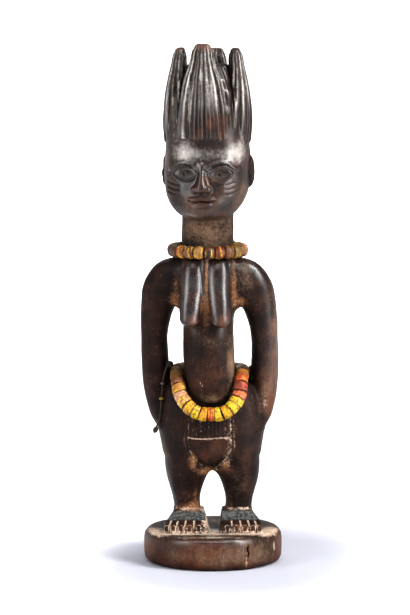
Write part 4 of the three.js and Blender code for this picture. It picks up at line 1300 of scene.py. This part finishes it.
# %% Cotton
cotton = Finish("dark_cotton")
lint = cotton.noise(0.5, 4, 0.6)
cotton.tone = cotton.mix(cotton.between(lint, 0.35, 0.7), (0.012, 0.009, 0.007), (0.06, 0.04, 0.028))
cotton.shade({"Roughness": 0.9, "Normal": cotton.bump(lint, 0.08), "Specular IOR Level": 0.25})
print("cotton has", len(cotton.tree.nodes), "nodes")

# %% [markdown]
# ## Threading and colouring
# Both strings are threaded by the same tree with other values. The necklace has a bead in each of its
# places, and the waist string leaves one place to its knot. Old beads of mixed batches lie side by
# side, so each one's colours are listed: the body, the streak and how much streak it has.

# %% Thread both strings
necklace = thread("necklace_beads", neck_line, {
    "Bead": neck_bead, "Slots": NECKLACE_SLOTS, "Empty slot": -1, "Radius": NECKLACE_BEAD / 2 * MM,
    "Fill": 0.97, "Unevenness": 0.06, "Tilt": 0.05, "Seed": 3, "Glass": glass.material})
waist = thread("waist_beads", waist_line, {
    "Bead": waist_bead, "Slots": WAIST_SLOTS, "Empty slot": KNOT_SLOT, "Radius": WAIST_BEAD / 2 * MM,
    "Fill": 1.0, "Unevenness": 0.07, "Tilt": 0.09, "Seed": 8, "Glass": glass.material})
for pattern in (neck_bead, waist_bead):
    bpy.data.objects.remove(pattern)
print("beads:", len(necklace.data.polygons), "and", len(waist.data.polygons), "faces")

# %% The beads' colours
EGG, YOLK, LEMON, OLIVE = (0.62, 0.36, 0.012), (0.55, 0.24, 0.012), (0.60, 0.42, 0.02), (0.16, 0.11, 0.012)
OCHRE, TAN, CREAM, BROWN = (0.36, 0.16, 0.03), (0.34, 0.19, 0.09), (0.52, 0.33, 0.17), (0.085, 0.035, 0.016)
ORANGE, BRICK, MAROON = (0.60, 0.15, 0.02), (0.38, 0.055, 0.018), (0.15, 0.022, 0.013)
ROSE, PINK, SALMON = (0.34, 0.10, 0.06), (0.48, 0.22, 0.13), (0.60, 0.19, 0.07)
RUST, BLACK = (0.24, 0.08, 0.014), (0.012, 0.009, 0.008)
BLUE, PALE_BLUE = (0.05, 0.13, 0.22), (0.20, 0.30, 0.36)
# from the figure's left side round the back to its right, and the front
NECKLACE = [
    (PINK, BROWN, 0.4), (TAN, OLIVE, 0.5), (EGG, BRICK, 0.4), (BROWN, BLACK, 0.5), (OCHRE, EGG, 0.5),
    (TAN, BROWN, 0.5), (EGG, OLIVE, 0.4), (BRICK, OCHRE, 0.4), (OCHRE, TAN, 0.5), (BROWN, OCHRE, 0.4),
    (EGG, BRICK, 0.45), (TAN, BROWN, 0.5), (BLACK, BROWN, 0.4), (BLACK, BROWN, 0.5), (EGG, BRICK, 0.5),
    (EGG, BROWN, 0.54), (TAN, EGG, 0.5), (EGG, BLACK, 0.6), (EGG, MAROON, 0.62), (OCHRE, BROWN, 0.55),
    (EGG, OLIVE, 0.56), (BROWN, TAN, 0.5),
]
# from the lowest bead round the figure's left side, the back and its right side to the front again
WAIST = [
    (YOLK, BRICK, 0.5), (LEMON, OLIVE, 0.34), (EGG, ORANGE, 0.4), (LEMON, OLIVE, 0.4), (LEMON, TAN, 0.42),
    (SALMON, BRICK, 0.46), (BRICK, MAROON, 0.52), (ORANGE, BRICK, 0.5), (RUST, YOLK, 0.46),
    (BLACK, BROWN, 0.46), (OCHRE, BROWN, 0.5), (EGG, TAN, 0.4), (TAN, ROSE, 0.45), (EGG, OCHRE, 0.5),
    (YOLK, BRICK, 0.4), (LEMON, OLIVE, 0.4), (ROSE, TAN, 0.5), (EGG, TAN, 0.4), (OCHRE, BRICK, 0.4),
    (EGG, OLIVE, 0.45), (TAN, CREAM, 0.5), (YOLK, BROWN, 0.4), (EGG, TAN, 0.4), (OCHRE, BROWN, 0.5),
    (BLACK, BROWN, 0.5), (BLACK, OLIVE, 0.5), (OLIVE, BROWN, 0.5), (RUST, BROWN, 0.52), (OCHRE, EGG, 0.5),
    (CREAM, PINK, 0.5), (LEMON, PINK, 0.46), (EGG, OCHRE, 0.42), (LEMON, OLIVE, 0.4), (EGG, ORANGE, 0.38),
]
print("colours for", len(NECKLACE), "and", len(WAIST), "beads")


# %% Colour the beads
def colour(piece, chosen, strength):
    number = np.empty(len(piece.data.vertices), np.int32)
    piece.data.attributes["bead"].data.foreach_get("value", number)
    bodies, streaks, shares = (np.array(column, np.float32) for column in zip(*chosen))
    for name, colours in (("body", bodies), ("streak", streaks)):
        keep(piece, name, np.c_[colours * strength, np.ones(len(chosen))][number], "FLOAT_COLOR")
    keep(piece, "streak_share", shares[number])


colour(necklace, NECKLACE, 0.56)
colour(waist, WAIST, 0.76)
for piece, kind in ((necklace, "necklace_bead"), (waist, "waist_bead")):
    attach(piece, "root")
    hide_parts(*[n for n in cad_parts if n.startswith(kind)])
print("the first bead is", [round(c * 0.56, 2) for c in NECKLACE[0][0]])

# %% [markdown]
# ## Strings and seed beads
# The strings run inside the beads and show only where a bead is missing: there the waist string is
# tied in a thick knot. A ball of a knot ends the loose end, and two tiny seed beads, one blue and
# one yellow, sit on it. They are small rings round its line, coloured like the other beads.

# %% The strings and their knots
THREAD = BORE - 1.2
neck_string, _, _ = plied("necklace_thread", neck_line, THREAD, closed=True)
knot_place = KNOT_SLOT / WAIST_SLOTS * waist_length
waist_string, _, _ = plied("waist_thread", waist_line, THREAD, closed=True,
                           knots=[(knot_place, (BORE + 1.6) / 2, 2.2)])
ball_line = [TAIL_POINTS[-1] + np.array((-0.35, 0.16, -0.92)) * t for t in (-0.8, 0.8, 2.2, 3.8)]
tail_ball, _, _ = plied("end_knot", ball_line, 1.1, knots=[(2.6, 1.45, 1.6)], lay=2.0)
print("the knot sits", round(knot_place, 1), "mm along the waist string")

# %% Two seed beads
SEED_HEIGHTS, SEED_MIDDLE, SEED_WALL, SEED_HALF_LENGTH = (93.4, 85.6), 0.85, 0.5, 0.6
tail_way = unit(np.gradient(tail_path, axis=0))
ring_points, ring_faces = [], []
for height in SEED_HEIGHTS:
    i = np.abs(tail_path[:, 2] / MM - height).argmin()
    side = unit(np.cross(tail_way[i], (0, 1, 0)))
    over = np.cross(tail_way[i], side)
    ring_faces += net(16, 8, first=len(ring_points))
    for a in circle(16):
        out = math.cos(a) * side + math.sin(a) * over
        for b in circle(8):
            off = (SEED_MIDDLE + SEED_WALL * math.cos(b)) * out + SEED_HALF_LENGTH * math.sin(b) * tail_way[i]
            ring_points.append(tail_path[i] + off * MM)
seeds = mesh_object("seed_beads", ring_points, ring_faces)
keep(seeds, "bead", np.repeat([0, 1], 16 * 8), "INT")
keep(seeds, "local", np.zeros((len(ring_points), 3)), "FLOAT_VECTOR")
colour(seeds, [(BLUE, PALE_BLUE, 0.5), (LEMON, OCHRE, 0.45)], 0.3)
seeds.data.materials.append(glass.material)
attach(seeds, "root")
print("two seed beads of", 2 * (SEED_MIDDLE + SEED_WALL), "mm")

# %% Hang the strings
for piece, node in ((neck_string, "necklace_string"), (waist_string, "waist_string"),
                    (tail, "waist_string_tail"), (tail_ball, "tail_knot")):
    piece.data.materials.append(cotton.material)
    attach(piece, "root")
    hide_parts(node)
tuple(tail_path[0])
[tuple(p) for p in tail_path]
print("strings done")

# %% [markdown]
# ## Floor and light
# The picture was made on a white sweep. Close to the figure the paper is painted darker and bluer,
# a painted shadow round the base, and paler further out, which fades the long cast shadow. Tall
# soft boxes at its left and right give the long reflections that run down every rounded form, with a
# narrow one over its left shoulder, one in front above and one behind. A small spot takes the end off
# the long shadow at the picture's left. Eight washes round about and a ceiling light keep the sweep
# white from every side, and the picture's gamma lifts the dark wood as the photograph does.

# %% Sweep
FLAT, BEND, TALL, SIDES = 2.4, 0.6, 1.1, 96
profile = [(FLAT * k / 6, 0.0) for k in range(1, 7)]
profile += [(FLAT + BEND * math.sin(t), BEND * (1 - math.cos(t))) for t in np.linspace(0.1, math.pi / 2, 14)]
profile += [(FLAT + BEND, TALL)]
sweep_points = [(0, 0, 0)] + [(r * math.cos(a), r * math.sin(a), z) for r, z in profile for a in circle(SIDES)]
sweep_faces = [(0, 1 + k, 1 + (k + 1) % SIDES) for k in range(SIDES)]
sweep_faces += [face[::-1] for face in net(len(profile), SIDES, looped=False, first=1)]
floor = mesh_object("sweep", sweep_points, sweep_faces)
paper = Finish("white_paper")
# painted shadow: the paper is painted darker and bluer near the base, centred a little right of it, and pale
# further out, which also fades the long cast shadow
away = paper.add("ShaderNodeVectorMath", [paper.stretched(1.45, 1, 1, shift=-0.012)], operation="LENGTH")
painted_shadow_share = paper.between(away.outputs["Value"], 0.07, 0.2)
paper.tone = paper.mix(painted_shadow_share, (0.41, 0.415, 0.46), (0.95, 0.945, 0.945))
paper.shade({"Roughness": 0.95, "Specular IOR Level": 0.1})
floor.data.materials.append(paper.material)
floor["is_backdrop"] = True
print("the sweep has", len(sweep_faces), "faces")


# %% Lights
def soft_box(name, place, aim_at, wide, tall, power, spread=180):
    light = put_in(name, bpy.data.lights.new(name, "AREA"))
    light.data.shape = "RECTANGLE"
    light.data.size, light.data.size_y = wide, tall
    light.data.energy, light.data.spread = power, math.radians(spread)
    point_at(light, place, aim_at)


soft_box("left_box", (-0.68, -0.46, 0.34), (0, 0, 0.14), 0.36, 0.8, 7)
soft_box("right_box", (0.74, -0.52, 0.38), (0, 0, 0.14), 0.36, 0.8, 13)
soft_box("shoulder_box", (0.6, -0.3, 0.85), (0, 0, 0.17), 0.10, 0.75, 12)
soft_box("top_box", (-0.05, -0.7, 1.1), (0, 0, 0.12), 0.8, 0.12, 5)
soft_box("back_box", (-0.5, 1.1, 0.9), (0, 0, 0.14), 0.6, 0.8, 4)
soft_box("floor_box", (-0.155, 0.08, 0.55), (-0.155, 0.08, 0), 0.07, 0.07, 0.5, spread=24)
soft_box("ceiling", (0, 0.2, 2.3), (0, 0.2, 0), 1.6, 1.6, 5)
WASHES = [
    (0, 1.9, 27), (0, -1.9, 10), (-1.9, 0, 8), (1.9, 0, 8),
    (-1.4, 1.4, 16), (1.4, 1.4, 16), (-1.4, -1.4, 8), (1.4, -1.4, 8),
]
for x, y, power in WASHES:
    soft_box("wash", (x, y, 1.9), (1.05 * x, 1.05 * y, 0), 1.4, 1.4, power, spread=90)
print("lights:", len(bpy.data.lights))

# %% Air and picture
world = bpy.data.worlds.new("studio")
world.use_nodes = True
air = world.node_tree.nodes["Background"].inputs
air["Color"].default_value, air["Strength"].default_value = (0.96, 0.97, 1, 1), 0.04
bpy.context.scene.world = world
bpy.context.scene.view_settings.view_transform = "Standard"
bpy.context.scene.view_settings.gamma = 0.82
print("gamma", round(bpy.context.scene.view_settings.gamma, 2))

# %% Size
low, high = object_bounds()
print("shown box in mm:", [round(v / MM, 1) for v in (*low, *high)])
